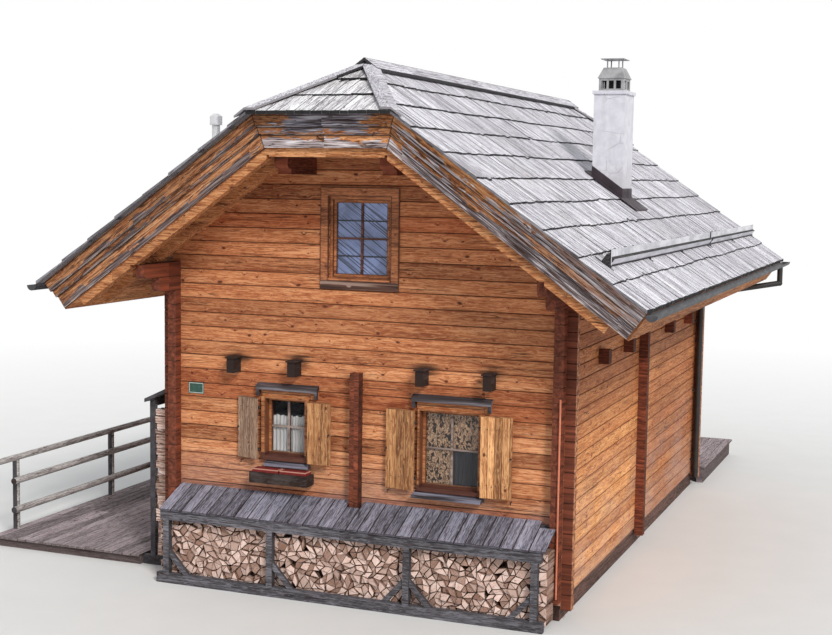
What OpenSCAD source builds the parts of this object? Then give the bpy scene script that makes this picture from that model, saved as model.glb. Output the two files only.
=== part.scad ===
// Alpine log chalet with a half-hipped board roof, wood stores and a side deck.
// X runs along the front wall to the right, Y from the front to the back, Z up.
// The origin is on the ground under the middle of the log walls.

/* [House] */
// Width of the log walls over their outer faces
house_w = 5460; // [4900:10:6200]
// Length of the log walls over their outer faces
house_l = 8600; // [8000:10:9600]
// Thickness of the planed wall logs
log_t = 125; // [100:5:150]
// Height of one course of logs
course = 190; // [180:2:200]
// Courses in the side walls
side_courses = 21; // [20:1:22]
// Height of the first log of the front wall above the ground
wall_base = 150; // [100:10:200]
// How far the logs run past the corners
log_end = 130; // [90:5:160]
// Depth of the open joint between two courses
groove = 9; // [4:1:14]

/* [Roof] */
// Height of the packing between the side walls and the roof body
wall_packing = 88; // [70:1:150]
// Rise of the main slopes for a run of one
roof_rise = 0.716; // [0.68:0.002:0.74]
// Distance from the middle to the lower edge of the boards
roof_half = 3975; // [3850:5:4100]
// Roof overhang at the front
verge_front = 1300; // [1200:10:1400]
// Roof overhang at the back
verge_rear = 1700; // [1600:10:1800]
// Half the width of the half hips at their lower edge
hip_half = 940; // [900:5:1100]
// Horizontal run of the front half hip
hip_run_front = 1550; // [1450:10:1700]
// Horizontal run of the rear half hip
hip_run_rear = 1000; // [900:10:1200]
// Rows of boards on a main slope
board_rows = 10; // [8:1:12]
// Thickness of the lower edge of a row of boards
board_butt = 40; // [36:2:64]
// Thickness of the boarded roof body under the boards, measured upright
roof_body = 520; // [460:10:540]
// Depth of the rafters under the roof body, measured upright
rafter_drop = 130; // [125:5:260]

/* [Windows] */
// Middle of the left window from the middle of the house
left_window_x = -1020; // [-1100:10:-950]
// Clear width of the left window
left_window_w = 690; // [640:10:720]
// Lower edge of the left window
left_window_z = 1670; // [1600:10:1700]
// Middle of the right window from the middle of the house
right_window_x = 1260; // [1200:10:1300]
// Clear width of the right window
right_window_w = 840; // [780:10:880]
// Lower edge of the right window
right_window_z = 1460; // [1400:10:1500]
// Upper edge of both lower windows
window_top = 2510; // [2480:10:2540]
// Clear width of the gable window
gable_window_w = 860; // [800:10:900]
// Lower edge of the gable window
gable_window_z = 4070; // [4000:10:4100]
// Upper edge of the gable window
gable_window_top = 5140; // [5100:10:5200]
// Thickness of a window shutter
shutter_t = 28; // [24:1:36]

/* [Stores and deck] */
// Depth of the front wood store
store_d = 470; // [400:10:560]
// Height of the front store's roof at the wall
store_h = 1240; // [1180:10:1300]
// Fall of the front store's roof from the wall to its lower edge
store_fall = 240; // [180:10:280]
// Depth of the side wood store from the wall to the face of its posts
side_store_d = 450; // [400:10:500]
// Length of the side wood store between its end posts
side_store_l = 2315; // [2000:5:2600]
// Height of the underside of the side store's roof at the wall
side_store_h = 2510; // [2400:10:2600]
// Height of the deck's boards above the ground
deck_h = 150; // [130:10:200]
// Width of the deck
deck_w = 2490; // [2300:10:2700]
// Length of the deck
deck_l = 5500; // [5000:50:6000]
// Height of the railing above the deck
rail_h = 1060; // [1000:10:1100]
// Width of the rear platform
platform_w = 3850; // [3400:10:4200]
// Length of the rear platform
platform_l = 2950; // [2500:10:3200]
// Height of the rear platform above the ground
platform_h = 300; // [260:5:320]

/* [Chimney] */
// Width of the chimney across the house
chimney_w = 460; // [430:10:490]
// Length of the chimney along the house
chimney_l = 580; // [520:10:620]
// Height of the chimney's masonry above the ground
chimney_h = 6640; // [6560:10:6720]

/* [Hidden] */
$fn = 24;
half_w = house_w / 2;
half_l = house_l / 2;
inner_w = half_w - log_t;
inner_l = half_l - log_t;
side_base = wall_base + course / 2;
side_top = side_base + side_courses * course;
// Play between the roof's body and what touches it
fit_play = 0.4;
body_under = board_butt + roof_body;
seat = body_under + fit_play;
ridge_h = side_top + wall_packing + body_under + roof_rise * half_w;
roof_front = -half_l - verge_front;
roof_rear = half_l + verge_rear;
ridge_front = roof_front + hip_run_front;
ridge_rear = roof_rear - hip_run_rear;
hip_h = ridge_h - roof_rise * hip_half;
pitch = atan(roof_rise);
rafter_under = body_under + rafter_drop;
// Offsets of the barge boards, each one lower and further back
barge_t = 38;
barge_body = 3 * barge_t;
// Distance by which the roof boards stand out past the barge boards
barge_back = 150;
body_back = barge_back + barge_body;
// Shutter hinges: pins on the wall, knuckles on the shutters
pin_r = 5;
pin_play = 0.08;
knuckle_r = 10;
ledge_t = 18;
// Distance of the shutters' hinge pins from the wall
hinge_out = 105;
hinge_y = -half_l - hinge_out;
left_hinge = left_window_w / 2 + 4;
right_hinge = right_window_w / 2 + 4;
shutter_top = window_top - 15;
left_h = shutter_top - shutter_z(left_window_z);
right_h = shutter_top - shutter_z(right_window_z);
// Angles at which three of the open shutters lean back to the wall
lean_left_a = 14;
lean_right_a = 8;
lean_right_b = 5;

// Lower edge of a shutter over a sill
function shutter_z(z) = z + 10;

// Height of the roof's upper face at a distance from the middle
function roof_z(x) = ridge_h - roof_rise * abs(x);

// Log walls

// Section of a wall of logs with a chamfered joint at every course
module log_section(t, base, top, first) {
    n = ceil((top - first) / course);
    zs = [for (k = [0 : n]) first + k * course];
    joints = [for (z = zs) if (z > base + groove && z < top - groove) z];
    right = [for (z = joints) each [[t / 2, z - groove], [t / 2 - groove, z], [t / 2, z + groove]]];
    left = [for (i = [len(joints) - 1 : -1 : 0]) each [
        [-t / 2, joints[i] + groove],
        [-t / 2 + groove, joints[i]],
        [-t / 2, joints[i] - groove]
    ]];
    polygon(concat([[-t / 2, base], [t / 2, base]], right, [[t / 2, top], [-t / 2, top]], left));
}

// Run of logs along X, from x0 to x1, centred on y
module logs_x(x0, x1, y, base, top, first) {
    translate([x0, y, 0])
        rotate([90, 0, 90])
            linear_extrude(x1 - x0)
                log_section(log_t, base, top, first);
}

// Run of logs along Y, from y0 to y1, centred on x
module logs_y(y0, y1, x, base, top, first) {
    translate([x, y1, 0])
        rotate([90, 0, 0])
            linear_extrude(y1 - y0)
                log_section(log_t, base, top, first);
}

// Necks of the half-lapped corner: half of each log's height passes through the crossing log
module necks(x, y, first, count) {
    for (k = [0 : count - 1])
        translate([x - log_t / 2, y - log_t / 2, first + (k + 0.25) * course])
            cube([log_t, log_t, course / 2]);
}

// Outline of the gable under the roof body, for a wall from y0 to y1
module gable_room(y0, y1) {
    top = ridge_h - seat;
    translate([0, y1, 0])
        rotate([90, 0, 0])
            linear_extrude(y1 - y0)
                polygon([
                    [-half_w - 400, 0],
                    [half_w + 400, 0],
                    [half_w + 400, top - roof_rise * (half_w + 400)],
                    [0, top],
                    [-half_w - 400, top - roof_rise * (half_w + 400)]
                ]);
}

gable_courses = ceil((ridge_h - body_under - wall_base) / course);
gable_top = wall_base + gable_courses * course;
corner_courses = side_courses;

module opening(x, w, z0, z1) {
    translate([x - w / 2, -half_l - 300, z0])
        cube([w, 600 + log_t, z1 - z0]);
}

// A gable wall at the front: logs, half-lapped corners and ends
module gable_logs(front, run) {
    y = -half_l + log_t / 2;
    intersection() {
        union() {
            logs_x(-inner_w, inner_w, y, wall_base, gable_top, wall_base);
            for (side = [-1, 1]) {
                necks(side * (half_w - log_t / 2), y, wall_base, corner_courses + 2);
                x0 = side > 0 ? half_w : -half_w - log_end;
                logs_x(x0, x0 + log_end, y, wall_base, wall_base + corner_courses * course, wall_base);
                translate([side > 0 ? inner_w : -half_w, -half_l, side_top])
                    cube([log_t, log_t, 2 * course]);
            }
        }
        gable_room(-half_l - 10, -inner_l + 10);
        hip_room(front, run);
    }
}

// Space under a half hip's body that starts at front and rises over run
module hip_room(front, run) {
    slope = (ridge_h - hip_h) / run;
    translate([-half_w - 400, 0, 0])
        rotate([90, 0, 90])
            linear_extrude(house_w + 800)
                polygon([
                    [front, 0],
                    [0, 0],
                    [0, hip_h - seat - slope * front],
                    [front, hip_h - seat]
                ]);
}

module long_joist_holes() {
    for (x = long_joist_x)
        translate([x - long_joist_w / 2, -half_l - 100, wall_base + 14 * course])
            cube([long_joist_w, house_l + 200, course]);
}

joist_w = 150;
long_joist_w = 105;
long_joist_x = [for (k = [-2, -1, 1, 2]) 22 + k * (half_w - 960) / 2];
cross_joist_y = [-2665, -1245, 1575, 3150];
purlin_x = 700;
purlin_w = 180;
purlin_z0 = ridge_h - 1430;
purlin_z1 = purlin_z0 + 230;

module front_wall() {
    color("peru")
        difference() {
            gable_logs(roof_front, hip_run_front);
            opening(left_window_x, left_window_w, left_window_z, window_top);
            opening(right_window_x, right_window_w, right_window_z, window_top);
            opening(0, gable_window_w, gable_window_z, gable_window_top);
            long_joist_holes();
            purlin_holes();
        }
}

door_w = 900;
door_h = 2050;
door_z = platform_h + 40;

module rear_wall() {
    color("peru")
        difference() {
            mirror([0, 1, 0]) gable_logs(-roof_rear, hip_run_rear);
            mirror([0, 1, 0]) opening(0, door_w, door_z, door_z + door_h);
            mirror([0, 1, 0]) opening(0, gable_window_w, gable_window_z, gable_window_top);
            long_joist_holes();
            purlin_holes();
        }
}

module purlin_holes() {
    for (side = [-1, 1])
        translate([side * purlin_x - purlin_w / 2, -half_l - 200, purlin_z0])
            cube([purlin_w, house_l + 400, purlin_z1 - purlin_z0]);
}

console_1 = 900;
console_2 = 530;

// A side wall at the right: logs, necks, ends and the two long console logs
module side_logs() {
    x = half_w - log_t / 2;
    top_2 = side_base + (side_courses - 2) * course;
    top_1 = side_base + (side_courses - 1) * course;
    logs_y(-inner_l, inner_l, x, side_base, side_top, side_base);
    translate([0, inner_l, 0])
        rotate([90, 0, 0])
            linear_extrude(2 * inner_l)
                polygon([
                    [inner_w, side_top],
                    [half_w, side_top],
                    [half_w, roof_z(half_w) - seat],
                    [inner_w, roof_z(inner_w) - seat]
                ]);
    for (dir = [-1, 1]) {
        necks(x, dir * (half_l - log_t / 2), side_base, side_courses);
        y0 = dir > 0 ? half_l : -half_l - log_end;
        logs_y(y0, y0 + log_end, x, side_base, top_2, side_base);
        console(x, dir, console_2, top_2);
        console(x, dir, console_1, top_1);
    }
}

// Long log end with a rounded nose
module console(x, dir, run, z) {
    r = course * 0.48;
    mirror([0, dir > 0 ? 1 : 0, 0])
        translate([x + log_t / 2, -half_l, z])
            rotate([90, 0, -90])
                linear_extrude(log_t) {
                    translate([0, groove / 3])
                        square([run - r, course - groove / 3]);
                    translate([0, groove / 3 + r])
                        square([run, course - groove / 3 - r]);
                    translate([run - r, groove / 3 + r])
                        circle(r, $fn = 32);
                }
}

module right_wall() {
    color("sandybrown")
        difference() {
            side_logs();
            cross_joist_holes();
            cross_necks();
        }
}

module left_wall() {
    color("sandybrown")
        difference() {
            mirror([1, 0, 0]) side_logs();
            cross_joist_holes();
            cross_necks();
        }
}

module cross_joist_holes() {
    for (y = cross_joist_y)
        translate([-half_w - 100, y - joist_w / 2, wall_base + 15 * course])
            cube([house_w + 200, joist_w, course]);
}

cross_y = -250;

// Necks of the cross wall where it passes through the side walls
module cross_necks() {
    for (side = [-1, 1])
        necks(side * (half_w - log_t / 2), cross_y, wall_base + course, side_courses - 1);
}

// Ends of the inner log walls that show outside
module cross_wall_ends() {
    color("sienna") {
        intersection() {
            union()
                for (side = [-1, 1]) {
                    x0 = side > 0 ? half_w : -half_w - log_end;
                    logs_x(x0, x0 + log_end, cross_y, wall_base, side_top, wall_base);
                }
            gable_room(cross_y - log_t, cross_y + log_t);
        }
        cross_necks();
        logs_y(-half_l - log_end, -half_l, 0, side_base, side_base + 14 * course, side_base);
    }
}

module plinth() {
    inset = 20;
    color("dimgray")
        difference() {
            union() {
                translate([-half_w + inset, -half_l + inset, 0])
                    cube([house_w - 2 * inset, house_l - 2 * inset, wall_base]);
                for (side = [-1, 1])
                    translate([side > 0 ? inner_w : -half_w + inset, -half_l + inset, 0])
                        cube([log_t - inset, house_l - 2 * inset, wall_base]);
            }
            translate([-inner_w, -inner_l, -10])
                cube([2 * inner_w, 2 * inner_l, wall_base + 20]);
        }
    color("dimgray")
        for (side = [-1, 1])
            translate([side > 0 ? inner_w : -half_w + inset, -inner_l, wall_base])
                cube([log_t - inset, 2 * inner_l, side_base - wall_base]);
    color("dimgray")
        for (side = [-1, 1], dir = [-1, 1])
            translate([side > 0 ? inner_w : -half_w + inset, dir > 0 ? inner_l : -half_l + inset, wall_base])
                cube([log_t - inset, log_t - inset, course / 4]);
}

module ground_floor() {
    color("burlywood")
        translate([-inner_w, -inner_l, door_z - 60])
            cube([2 * inner_w, 2 * inner_l, 60]);
    color("burlywood")
        for (x = [-inner_w, -60, inner_w - 120])
            translate([x, -inner_l, 0])
                cube([120, 2 * inner_l, door_z - 60]);
}

long_joist_out = 200;
cross_joist_out = 140;

// Joists along the house, with a small weather board on each end
module long_joists() {
    cap_w = long_joist_w + 40;
    cap_l = long_joist_out + 15;
    color("darkslategray")
        for (x = long_joist_x) {
            translate([x - long_joist_w / 2, -half_l - long_joist_out, wall_base + 14 * course])
                cube([long_joist_w, house_l + 2 * long_joist_out, course]);
            for (y = [-half_l - cap_l, half_l])
                translate([x - cap_w / 2, y, wall_base + 15 * course])
                    cube([cap_w, cap_l, 16]);
        }
}

module cross_joists() {
    color("brown")
        for (y = cross_joist_y)
            translate([-half_w - cross_joist_out, y - joist_w / 2, wall_base + 15 * course])
                cube([house_w + 2 * cross_joist_out, joist_w, course]);
}

module upper_floor() {
    color("burlywood")
        difference() {
            translate([-inner_w, -inner_l, wall_base + 16 * course])
                cube([2 * inner_w, 2 * inner_l, 40]);
            chimney_room(10);
        }
}

// Roof

// Plan of the right main slope
module slope_plan(back = 0) {
    polygon([
        [0, ridge_front],
        [hip_half, roof_front],
        [hip_half, roof_front + back],
        [roof_half + 300, roof_front + back],
        [roof_half + 300, roof_rear - back],
        [hip_half, roof_rear - back],
        [hip_half, roof_rear],
        [0, ridge_rear]
    ]);
}

// Section of a main slope between two depths under its upper face
module slope_section(d0, d1, foot) {
    polygon([
        [0, ridge_h - d1],
        [0, ridge_h - d0],
        [foot, roof_z(foot) - d0],
        [foot - (d1 - d0) * sin(pitch) * cos(pitch), roof_z(foot) - d0 - (d1 - d0) * pow(cos(pitch), 2)]
    ]);
}

// Length of the roof body along Y, inside the barge boards
module roof_body_side() {
    intersection() {
        translate([0, roof_rear + 10, 0])
            rotate([90, 0, 0])
                linear_extrude(roof_rear - roof_front + 20)
                    slope_section(board_butt + fit_play, body_under, roof_half - 40);
        linear_extrude(ridge_h + 100)
            polygon([
                [0, ridge_front],
                [hip_half, roof_front],
                [hip_half, roof_front + body_back],
                [roof_half + 300, roof_front + body_back],
                [roof_half + 300, roof_rear - body_back],
                [hip_half, roof_rear - body_back],
                [hip_half, roof_rear],
                [0, ridge_rear]
            ]);
        translate([-10, roof_front + body_back, 0])
            cube([roof_half + 400, roof_rear - roof_front - 2 * body_back, ridge_h + 100]);
    }
}

module roof_body_right() {
    color("burlywood")
        difference() {
            roof_body_side();
            chimney_room(0);
        }
}

module roof_body_left() {
    color("burlywood")
        difference() {
            mirror([1, 0, 0]) roof_body_side();
            vent_room();
        }
}

// Half hip between two depths under its upper face; run is its horizontal run
module hip_body(front, run, d0, d1, back) {
    slope = (ridge_h - hip_h) / run;
    intersection() {
        translate([-hip_half - 10, 0, 0])
            rotate([90, 0, 90])
                linear_extrude(2 * hip_half + 20)
                    polygon([
                        [front, hip_h - d0],
                        [front, hip_h - d1],
                        [front + run, ridge_h - d1],
                        [front + run, ridge_h - d0]
                    ]);
        linear_extrude(ridge_h + 100)
            polygon([[-hip_half, front], [hip_half, front], [0, front + run]]);
        translate([-hip_half - 10, front + back, 0])
            cube([2 * hip_half + 20, run, ridge_h + 100]);
    }
}

module roof_body_hips() {
    color("burlywood") {
        hip_body(roof_front, hip_run_front, board_butt + fit_play, body_under, body_back);
        mirror([0, 1, 0])
            hip_body(-roof_rear, hip_run_rear, board_butt + fit_play, body_under, body_back);
    }
}

// Height by which the upper end of a row of boards dips under the next row
row_lip = 22;

// Stepped section of the overlapping rows of boards on a main slope
module rows_section(run, top, rise, rows, butt) {
    step = run / rows;
    pts = [for (k = [0 : rows - 1]) each [
        [run - k * step, top - rise * (run - k * step)],
        [run - (k + 1) * step, top - rise * (run - (k + 1) * step) - row_lip]
    ]];
    polygon(concat([[run, top - rise * run - butt]], pts, [[0, top - butt]]));
}

module slope_rows() {
    intersection() {
        translate([0, roof_rear, 0])
            rotate([90, 0, 0])
                linear_extrude(roof_rear - roof_front)
                    rows_section(roof_half, ridge_h, roof_rise, board_rows, board_butt);
        linear_extrude(ridge_h + 100)
            slope_plan();
    }
}

module roof_boards_right() {
    color("lightsteelblue")
        difference() {
            slope_rows();
            chimney_room(0);
        }
}

module roof_boards_left() {
    color("lightsteelblue")
        difference() {
            mirror([1, 0, 0]) slope_rows();
            vent_room();
        }
}

module hip_rows(front, run) {
    slope = (ridge_h - hip_h) / run;
    intersection() {
        translate([-hip_half, front + run, 0])
            rotate([90, 0, 90])
                linear_extrude(2 * hip_half)
                    mirror([1, 0])
                        rows_section(run, ridge_h, slope, 3, board_butt);
        linear_extrude(ridge_h + 100)
            polygon([[-hip_half, front], [hip_half, front], [0, front + run]]);
    }
}

module hip_boards() {
    color("lightsteelblue") {
        hip_rows(roof_front, hip_run_front);
        mirror([0, 1, 0]) hip_rows(-roof_rear, hip_run_rear);
    }
}

// Boards over the ridge: one down each slope
module ridge_cap(w, t) {
    translate([0, ridge_rear + 350, 0])
        rotate([90, 0, 0])
            linear_extrude(ridge_rear - ridge_front + 350 + 180)
                polygon([
                    [-w, roof_z(w) + cap_lift],
                    [0, ridge_h + cap_lift],
                    [w, roof_z(w) + cap_lift],
                    [w, roof_z(w) + cap_lift + t],
                    [0, ridge_h + cap_lift + t],
                    [-w, roof_z(w) + cap_lift + t]
                ]);
}

// Plan of a band of width w beside the right hip line of a half hip; side is 1 on the main slope
module hip_band(front, run, w, side) {
    l = norm([hip_half, run]);
    along = [-hip_half, run] / l;
    across = side * [run, hip_half] / l;
    a = [hip_half, front] - 200 * along;
    b = [0, front + run];
    intersection() {
        polygon([a, b, b + w * across, a + w * across]);
        translate([0, front - 12])
            square([3 * hip_half, run + 400]);
    }
}

// Boards over the right hip line: one on the half hip and one on the main slope
module hip_cap(front, run, w, t) {
    slope = (ridge_h - hip_h) / run;
    intersection() {
        linear_extrude(ridge_h + 200)
            hip_band(front, run, w, 1);
        translate([0, front + run + 500, 0])
            rotate([90, 0, 0])
                linear_extrude(run + 800)
                    polygon([
                        [0, ridge_h + cap_lift],
                        [0, ridge_h + cap_lift + t],
                        [2 * hip_half, roof_z(2 * hip_half) + cap_lift + t],
                        [2 * hip_half, roof_z(2 * hip_half) + cap_lift]
                    ]);
    }
    intersection() {
        linear_extrude(ridge_h + 200)
            hip_band(front, run, w, -1);
        rotate([90, 0, 90])
            linear_extrude(2 * hip_half)
                polygon([
                    [front - 50, hip_h - 50 * slope + cap_lift],
                    [front - 50, hip_h - 50 * slope + cap_lift + t],
                    [front + run, ridge_h + cap_lift + t],
                    [front + run, ridge_h + cap_lift]
                ]);
    }
}

// Play between the roof boards and what lies on them
cap_lift = 0.5;

module roof_caps() {
    color("silver") {
        ridge_cap(185, 38);
        for (side = [0, 1])
            mirror([side, 0, 0]) {
                hip_cap(roof_front, hip_run_front, 115, 28);
                mirror([0, 1, 0])
                    hip_cap(-roof_rear, hip_run_rear, 115, 28);
            }
    }
}

// One layer of barge boards round a gable end; k counts the layers from the front
module barge_layer(k, d1, run) {
    back = barge_back + k * barge_t;
    d0 = board_butt + fit_play + 2 * k;
    top = hip_h + (ridge_h - hip_h) * back / run - d0;
    translate([0, roof_front + back + barge_t, 0])
        rotate([90, 0, 0])
            linear_extrude(barge_t)
                barge_outline(d0, d1, roof_half - 12 - 4 * k, top, hip_h - d1 * cos(pitch));
}

// Outline of a barge board between two depths under the slopes, level between two heights at the half hip
module barge_outline(d0, d1, foot, top, low) {
    upper = mitre(d0, top);
    lower = mitre(d1, low);
    end = roof_z(foot) - d0 * pow(cos(pitch), 2);
    first = d0 * sin(pitch) * cos(pitch);
    run = (d1 - d0) * sin(pitch) * cos(pitch);
    drop = (d1 - d0) * pow(cos(pitch), 2);
    polygon([
        [first - foot, end],
        [first - foot + run, end - drop],
        [-lower, low],
        [lower, low],
        [foot - first - run, end - drop],
        [foot - first, end],
        [upper, top],
        [-upper, top]
    ]);
}

// Distance from the middle at which a line at depth d under a slope meets a height
function mitre(d, z) = (ridge_h - d - z) / roof_rise;

// The stepped barge boards of a gable end whose half hip rises over run
module barge_set(run) {
    barge_layer(0, 227, run);
    barge_layer(1, 341, run);
    barge_layer(2, 547, run);
}

module barge_boards_front() {
    color("tan") barge_set(hip_run_front);
}

module barge_boards_rear() {
    color("tan")
        translate([0, roof_rear + roof_front, 0])
            mirror([0, 1, 0])
                barge_set(hip_run_rear);
}

// Boards that close the roof body along the eaves
module eave_boards() {
    color("burlywood")
        for (side = [0, 1])
            mirror([side, 0, 0])
                translate([roof_half - 40, roof_rear - body_back, roof_z(roof_half - 40) - board_butt])
                    rotate([90, 0, 0])
                        linear_extrude(roof_rear - roof_front - 2 * body_back)
                            rotate(-90 - pitch)
                                translate([0, fit_play])
                                    square([roof_body * cos(pitch), eave_t]);
}

// Purlins under the rafters at half height of the roof, with carved brackets
module middle_purlins() {
    run = 820;
    color("brown")
        for (side = [-1, 1])
            translate([side * purlin_x + purlin_w / 2, 0, 0])
                rotate([90, 0, -90])
                    linear_extrude(purlin_w)
                        difference() {
                            polygon([
                                [-half_l - run, purlin_z0 + 110],
                                [-half_l - run + 90, purlin_z0],
                                [half_l + run - 90, purlin_z0],
                                [half_l + run, purlin_z0 + 110],
                                [half_l + run, purlin_z1],
                                [-half_l - run, purlin_z1]
                            ]);
                            for (dir = [-1, 1])
                                translate([dir * (half_l + run - 60), purlin_z0 + 30])
                                    circle(45, $fn = 32);
                        }
}

// One pair of rafters, cut over the purlins, from y to y + w
module rafter_pair(y, w) {
    foot = roof_half - 180;
    d0 = seat;
    d1 = rafter_under;
    translate([0, y + w, 0])
        rotate([90, 0, 0])
            linear_extrude(w)
                difference() {
                    union()
                        for (side = [0, 1])
                            mirror([side, 0])
                                polygon([
                                    [0, ridge_h - d1],
                                    [0, ridge_h - d0],
                                    [foot - 300, roof_z(foot - 300) - d0],
                                    [foot - 300 - (d1 - d0) * 0.5, roof_z(foot - 300) - d0 - (d1 - d0) * 0.66]
                                ]);
                    for (side = [-1, 1]) {
                        translate([side * purlin_x - purlin_w / 2, 0])
                            square([purlin_w, purlin_z1]);
                        translate([side * (half_w - log_t / 2) - log_t / 2, 0])
                            square([log_t, side_top]);
                    }
                }
}

module rafters() {
    color("sandybrown") {
        gable_rafters(roof_front, hip_run_front);
        mirror([0, 1, 0])
            gable_rafters(-roof_rear, hip_run_rear);
    }
}

// Two pairs of rafters in the overhang of one gable, with the level beam under its half hip
module gable_rafters(front, run) {
    w = 120;
    y1 = front + body_back + 10;
    y2 = -half_l - log_end - 420;
    difference() {
        intersection() {
            union() {
                rafter_pair(y1, w);
                rafter_pair(y2, w);
            }
            rafter_room(front, run);
        }
        translate([-0.3, front, 0])
            cube([0.6, half_l, ridge_h]);
    }
    difference() {
        hip_beam(y1, w, front, run);
        translate([0, 1, 0])
            rafter_play(y1, w);
    }
}

// Space under a half hip's body, for the rafters that it cuts short
module rafter_room(front, run) {
    slope = (ridge_h - hip_h) / run;
    translate([-roof_half, 0, 0])
        rotate([90, 0, 90])
            linear_extrude(2 * roof_half)
                polygon([
                    [front, 0],
                    [front + 1400, 0],
                    [front + 1400, hip_h - seat + slope * 1400],
                    [front, hip_h - seat]
                ]);
}

// Rafter pair's room with a little play, to cut a beam that stands between the two rafters
module rafter_play(y, w) {
    for (z = [-1, 1])
        translate([0, -2, z * 0.4])
            rafter_pair(y, w + 4);
}

// Level beam between the outer rafters under the half hip
module hip_beam(y, w, front, run) {
    slope = (ridge_h - hip_h) / run;
    z = hip_h - seat + slope * (y - front);
    tall = 110;
    x1 = (ridge_h - rafter_under - z + tall + 8) / roof_rise;
    translate([-x1, y, z - tall])
        cube([2 * x1, w, tall]);
}

gutter_r = 68;
gutter_x = roof_half + 48;
gutter_z = roof_z(roof_half) - board_butt - 12;
eave_t = 24;

// Point on the outer face of an eave board, a distance down from its upper edge
function eave_point(d) = [
    roof_half - 40 + (eave_t + 2 * fit_play) * cos(pitch) - d * sin(pitch),
    roof_z(roof_half - 40) - board_butt - (eave_t + 2 * fit_play) * sin(pitch) - d * cos(pitch)
];

module gutter() {
    difference() {
        translate([gutter_x, roof_rear + 20, gutter_z])
            rotate([90, 0, 0])
                cylinder(h = roof_rear - roof_front + 40, r = gutter_r, $fn = 32);
        translate([gutter_x, roof_rear + 14, gutter_z])
            rotate([90, 0, 0])
                cylinder(h = roof_rear - roof_front + 28, r = gutter_r - 5, $fn = 32);
        translate([gutter_x - 100, roof_front - 100, gutter_z])
            cube([200, roof_rear - roof_front + 200, 100]);
    }
}

// Strap that carries the gutter from the eave board
module gutter_strap(y) {
    translate([0, y, 0])
        rotate([90, 0, 0])
            linear_extrude(30)
                polygon([
                    eave_point(12),
                    eave_point(80),
                    [gutter_x - gutter_r * 0.86, gutter_z - gutter_r * 0.48],
                    [gutter_x - gutter_r + 3, gutter_z]
                ]);
}

module gutters() {
    bays = 11;
    y0 = roof_front + body_back + 40;
    y1 = roof_rear - body_back - 40;
    color("gray")
        for (side = [0, 1])
            mirror([side, 0, 0]) {
                gutter();
                for (i = [0 : bays])
                    gutter_strap(y0 + i * (y1 - y0) / bays);
            }
}

pipe_r = 48;
pipe_x = half_w + 100;
pipe_y = half_l - 240;

// Downpipe from the right gutter to the wall, and down the rear corner
module downpipe() {
    out_y = roof_rear - 850;
    drop_z = eave_point(roof_body * cos(pitch))[1] - 20;
    bend_z = drop_z - 180;
    color("darkslategray") {
        difference() {
            translate([gutter_x, out_y, drop_z])
                cylinder(h = gutter_z - drop_z, r = pipe_r);
            translate([gutter_x, out_y + 200, gutter_z])
                rotate([90, 0, 0])
                    cylinder(h = 400, r = gutter_r + 0.4, $fn = 32);
        }
        limb([gutter_x, out_y, drop_z], [pipe_x, pipe_y, bend_z], pipe_r);
        translate([pipe_x, pipe_y, bend_z])
            sphere(pipe_r + 3);
        translate([pipe_x, pipe_y, 180])
            cylinder(h = bend_z - 180, r = pipe_r);
        for (part = [0.14, 0.5, 0.86])
            translate([half_w, pipe_y - 15, part * bend_z])
                cube([pipe_x - half_w, 30, 30]);
    }
}

// Round bar from a to b
module limb(a, b, r) {
    d = b - a;
    translate(a)
        rotate([0, acos(d[2] / norm(d)), atan2(d[1], d[0])])
            cylinder(h = norm(d), r = r);
    translate(a) sphere(r + 3);
}

// Chimney and roof fittings

chimney_x = 2168;
chimney_y = 20;
collar_t = 50;

module chimney_room(gap) {
    translate([chimney_x - chimney_w / 2 - gap, chimney_y - chimney_l / 2 - gap, -10])
        cube([chimney_w + 2 * gap, chimney_l + 2 * gap, chimney_h + 10]);
}

module chimney() {
    color("white") {
        translate([chimney_x - chimney_w / 2, chimney_y - chimney_l / 2, door_z])
            cube([chimney_w, chimney_l, chimney_h - door_z]);
        translate([chimney_x - chimney_w / 2 - 22, chimney_y - chimney_l / 2 - 22, chimney_h])
            cube([chimney_w + 44, chimney_l + 44, collar_t]);
    }
}

// Sheet-metal cowl: a box with openings round the flue, a hood and a rain plate on four posts
module chimney_cowl() {
    z = chimney_h + collar_t;
    x1 = chimney_w / 2 - 45;
    y1 = chimney_l / 2 - 82;
    box_h = 182;
    hood_h = 160;
    post_h = 118;
    color("gray")
        translate([chimney_x, chimney_y, z]) {
            difference() {
                translate([-x1, -y1, 0]) cube([2 * x1, 2 * y1, box_h]);
                translate([20 - x1, 20 - y1, -1]) cube([2 * x1 - 40, 2 * y1 - 40, box_h + 2]);
                for (x = [-x1 * 0.58, 0, x1 * 0.58])
                    translate([x - 38, -y1 - 10, 32]) cube([76, 2 * y1 + 20, 118]);
                for (y = [-y1 * 0.45, y1 * 0.45])
                    translate([-x1 - 10, y - 58, 32]) cube([2 * x1 + 20, 116, 118]);
            }
            translate([-x1 / 2, -y1 / 2, 0]) cube([x1, y1, box_h]);
            translate([0, 0, box_h])
                hull() {
                    translate([-x1 - 15, -y1 - 15, 0]) cube([2 * x1 + 30, 2 * y1 + 30, 8]);
                    translate([-x1 * 0.72, -y1 * 0.72, hood_h - 8]) cube([1.44 * x1, 1.44 * y1, 8]);
                }
            for (x = [-x1 * 0.46, x1 * 0.46], y = [-y1 * 0.56, y1 * 0.56])
                translate([x - 8, y - 8, box_h + hood_h])
                    cube([16, 16, post_h]);
            translate([-x1 + 15, -y1 + 15, box_h + hood_h + post_h])
                cube([2 * x1 - 30, 2 * y1 - 30, 12]);
        }
}

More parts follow.
